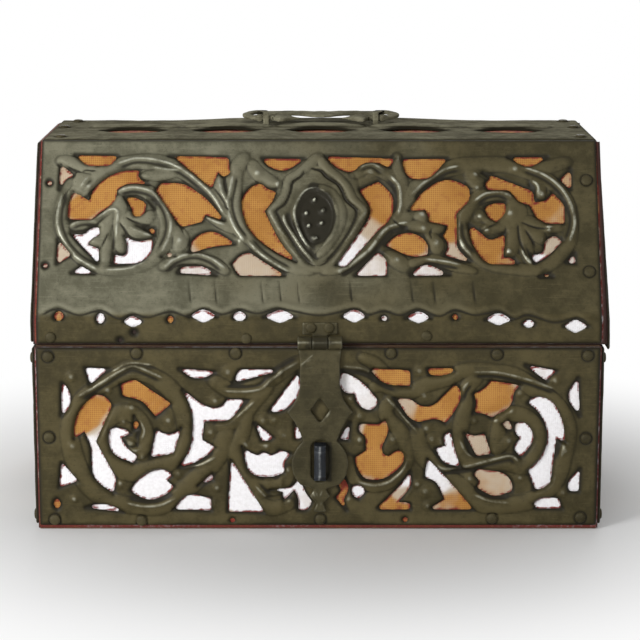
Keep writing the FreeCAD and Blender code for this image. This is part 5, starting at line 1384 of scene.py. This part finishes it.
def glued_cloth(name, worn, profile, across, spacing=1.5 * MM, taper=None, redness=0.0,
                soiled=()):
    """A sheet glued over its board; profile is its left end's line from foot to top, in millimetres."""
    line = [Vector(p) * MM for p in profile]
    lengths = [(b - a).length for a, b in zip(line, line[1:])]
    total = sum(lengths)
    side = Vector(across) * MM
    bm = bmesh.new()
    columns = int(side.length / (spacing * COARSER))
    rows = int(total / (spacing * COARSER))
    bmesh.ops.create_grid(bm, x_segments=columns, y_segments=rows, size=0.5)
    uv_layer = bm.loops.layers.uv.new("flat")
    plane, rim = PLANES[name], RIM_PLANES.get(name)
    worn_tree = point_tree([Vector((w[0], w[1], 0.0)) for w in worn])
    worn_layer = bm.verts.layers.float.new("worn")
    rim_layer = bm.verts.layers.float.new("red_rim")
    soil_layer = bm.verts.layers.float.new("soil")
    panel_columns, panel_rows, ignore = plane.read(coordinates(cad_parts[name + "_panel"].data))
    for face in bm.faces:
        for loop in face.loops:
            loop[uv_layer].uv = ((loop.vert.co.x + 0.5) * side.length, (loop.vert.co.y + 0.5) * total)
    for v in bm.verts:
        share, far = v.co.x + 0.5, (v.co.y + 0.5) * total
        k = 0
        while k < len(lengths) - 1 and far > lengths[k]:
            far -= lengths[k]
            k += 1
        place = line[k].lerp(line[k + 1], min(1.0, far / lengths[k]))
        if taper:
            low, high = taper[k], taper[k + 1]
            share = 0.5 + (share - 0.5) * (low + (high - low) * min(1.0, far / lengths[k]))
        place = place + side * share
        here = rim if rim and k == 0 else plane
        column, row, ignore = here.read(np.array(place))
        value = nearby_wear(worn_tree, worn, column, row)
        outward_here = Vector(here.out)
        near = OUTLINES[name].find(place + outward_here * FACE_ABOVE_CLOTH)[0] - place
        edge = (near - near.project(outward_here)).length / MM
        wander = noise.noise(place * 400.0) * 0.5 + noise.noise(place * 130.0) * 0.6
        v[worn_layer] = min(1.0, max(0.0, value + wander * 0.12))
        beside = not panel_columns.min() < column < panel_columns.max() or taper and abs(v.co.x) > 0.475
        outside = beside or row < panel_rows.min()
        rim_share = 1.3 if outside else redness + 0.8 - (edge - 0.2 - wander * 0.3) / 0.6
        v[rim_layer] = min(3.0, max(redness or -1.0, rim_share, -value))
        soil = [fading((abs(place.z - SEAM) - 1.0 * MM) / (0.8 * MM))]
        soil += [fading(math.hypot(column - x, row - y) - reach) for x, y, reach in soiled]
        if outside:
            soil.append(0.92 if beside else 0.4)
        v[soil_layer] = max(soil)
        puff = 0.10 * min(1.0, edge / 2.5) + 0.05 * noise.noise(place * 220.0)
        v.co = place + outward_here * (puff * MM)
    bmesh.ops.recalc_face_normals(bm, faces=bm.faces)
    middle = bm.faces[:][len(bm.faces) // 2]
    if middle.normal.dot(Vector(plane.out)) < 0:
        bmesh.ops.reverse_faces(bm, faces=bm.faces)
    mesh = smooth_mesh(name + "_glued_cloth", bm)
    piece = add_piece(name + "_glued_cloth", mesh, name.split("_")[0], [name + "_cloth"], CLOTH)
    thick = piece.modifiers.new("thickness", "SOLIDIFY")
    thick.thickness = THREAD
    thick.offset = -1.0


glued_cloth("body_front", BODY_WORN, [(-120.6, -72.6, 0.5), (-120.6, -72.6, 80.7)], (241.2, 0, 0), 0.9 * MM)
glued_cloth("body_back", SIDE_WORN, [(120.6, 72.6, 0.5), (120.6, 72.6, 80.7)], (-241.2, 0, 0))
glued_cloth("body_left", SIDE_WORN, [(-120.6, 71.9, 0.5), (-120.6, 71.9, 80.7)], (0, -143.8, 0))
glued_cloth("body_right", SIDE_WORN, [(120.6, -71.9, 0.5), (120.6, -71.9, 80.7)], (0, 143.8, 0))
glued_cloth("lid_front", LID_WORN, [(-120.4, -72.6, 81.5), (-120.4, -72.6, 91.5), (-120.4, -36.35, 163.45)],
            (242.4, 0, 0), 0.9 * MM, soiled=LOST_NAILS)
glued_cloth("lid_back", SIDE_WORN, [(121.9, 72.6, 81.5), (121.9, 72.6, 91.5), (121.9, 36.35, 163.45)],
            (-242.3, 0, 0))
glued_cloth("lid_top", TOP_WORN, [(-120.2, -36.3, 163.5), (-120.2, 36.3, 163.5)], (240.4, 0, 0),
            redness=0.6)
glued_cloth("lid_left", SIDE_WORN, [(-120.9, 72.3, 81.5), (-120.88, 72.3, 91.5), (-120.6, 72.3, 163.4)],
            (0, -144.6, 0), taper=(1.0, 1.0, 0.505))
glued_cloth("lid_right", SIDE_WORN, [(122.8, -72.3, 81.5), (122.53, -72.3, 91.5), (120.6, -72.3, 163.4)],
            (0, 144.6, 0), taper=(1.0, 1.0, 0.505))


# Boards and what stays as built

def refinished(node, finish):
    """Gives a CAD node its material."""
    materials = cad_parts[node].data.materials
    materials.clear()
    materials.append(finish)


for part in [*PLANES, "lid_front_rim", "lid_back_rim", "base"]:
    refinished(part + "_board", WOOD)
refinished("hasp_pin", FORGED_IRON)


# Camera, light and floor

def camera_at_photo_angle():
    """The lens stands a metre in front of the box and looks a little down on it."""
    lens = bpy.data.cameras.new("photo_camera")
    lens.sensor_width = 36.0
    lens.lens = 121.4
    lens.clip_start = 0.01
    lens.clip_end = 20.0
    camera = placed("photo_camera", lens)
    camera.location = (0.0008, -0.9676, 0.2763)
    look_down = 0.203
    camera.rotation_euler = (math.pi / 2 - look_down, 0.0, 0.0)
    bpy.context.scene.camera = camera


def soft_lamp(name, place, aim, width, power):
    """A wide square lamp that looks at the given point."""
    data = bpy.data.lights.new(name, "AREA")
    data.shape = "SQUARE"
    data.size = width
    data.energy = power
    lamp = placed(name, data)
    lamp.location = place
    lamp.rotation_euler = (Vector(aim) - Vector(place)).to_track_quat("-Z", "Y").to_euler()


def seen_mask(tree):
    """1 for what the eye, gloss or clear matter sees directly, 0 for the light on the box."""
    path = tree.nodes.new("ShaderNodeLightPath")
    direct = math_node(tree, "MAXIMUM", path.outputs["Is Camera Ray"], path.outputs["Is Glossy Ray"])
    return math_node(tree, "MAXIMUM", direct, path.outputs["Is Transmission Ray"])


def studio():
    """Dim light from all round, white to the eye, and three lamps."""
    world = bpy.data.worlds.new("studio")
    bpy.context.scene.world = world
    world.use_nodes = True
    tree = world.node_tree
    tree.nodes.clear()
    lit = tree.nodes.new("ShaderNodeBackground")
    lit.inputs["Strength"].default_value = 0.33
    seen = tree.nodes.new("ShaderNodeBackground")
    seen.inputs["Color"].default_value = (1.0, 1.0, 1.0, 1.0)
    seen.inputs["Strength"].default_value = 1.0
    mix = tree.nodes.new("ShaderNodeMixShader")
    out = tree.nodes.new("ShaderNodeOutputWorld")
    tree.links.new(seen_mask(tree), mix.inputs[0])
    tree.links.new(lit.outputs[0], mix.inputs[1])
    tree.links.new(seen.outputs[0], mix.inputs[2])
    tree.links.new(mix.outputs[0], out.inputs["Surface"])
    aim = (0.0, 0.0, 0.08)
    soft_lamp("key_lamp", (-0.75, -0.80, 0.40), aim, 0.38, 9.2)
    soft_lamp("fill_lamp", (0.0, -1.35, 0.08), aim, 0.9, 5.2)
    soft_lamp("back_lamp", (0.1, 1.0, 0.9), aim, 0.8, 5.0)


def pale_floor():
    """Pale ground that keeps the box's shadow and fades into the white behind it."""
    bm = bmesh.new()
    bmesh.ops.create_grid(bm, x_segments=1, y_segments=1, size=3.0)
    mesh = smooth_mesh("pale_floor", bm)
    mesh.transform(Matrix.Translation((0.0, 0.0, -0.2 * MM)))
    piece = placed("pale_floor", mesh)
    made, tree, shader = material("pale_floor")
    shader.inputs["Base Color"].default_value = (0.88, 0.88, 0.875, 1.0)
    shader.inputs["Roughness"].default_value = 0.95
    distance = tree.nodes.new("ShaderNodeVectorMath")
    distance.operation = "LENGTH"
    tree.links.new(object_place(tree), distance.inputs[0])
    far = ranged(tree, distance.outputs["Value"], 0.10, 0.28)
    white = tree.nodes.new("ShaderNodeEmission")
    mix = tree.nodes.new("ShaderNodeMixShader")
    tree.links.new(math_node(tree, "MULTIPLY", far, seen_mask(tree)), mix.inputs[0])
    tree.links.new(shader.outputs[0], mix.inputs[1])
    tree.links.new(white.outputs[0], mix.inputs[2])
    tree.links.new(mix.outputs[0], tree.nodes["Material Output"].inputs["Surface"])
    mesh.materials.append(made)


camera_at_photo_angle()
studio()
pale_floor()
bpy.context.scene.view_settings.view_transform = "Standard"
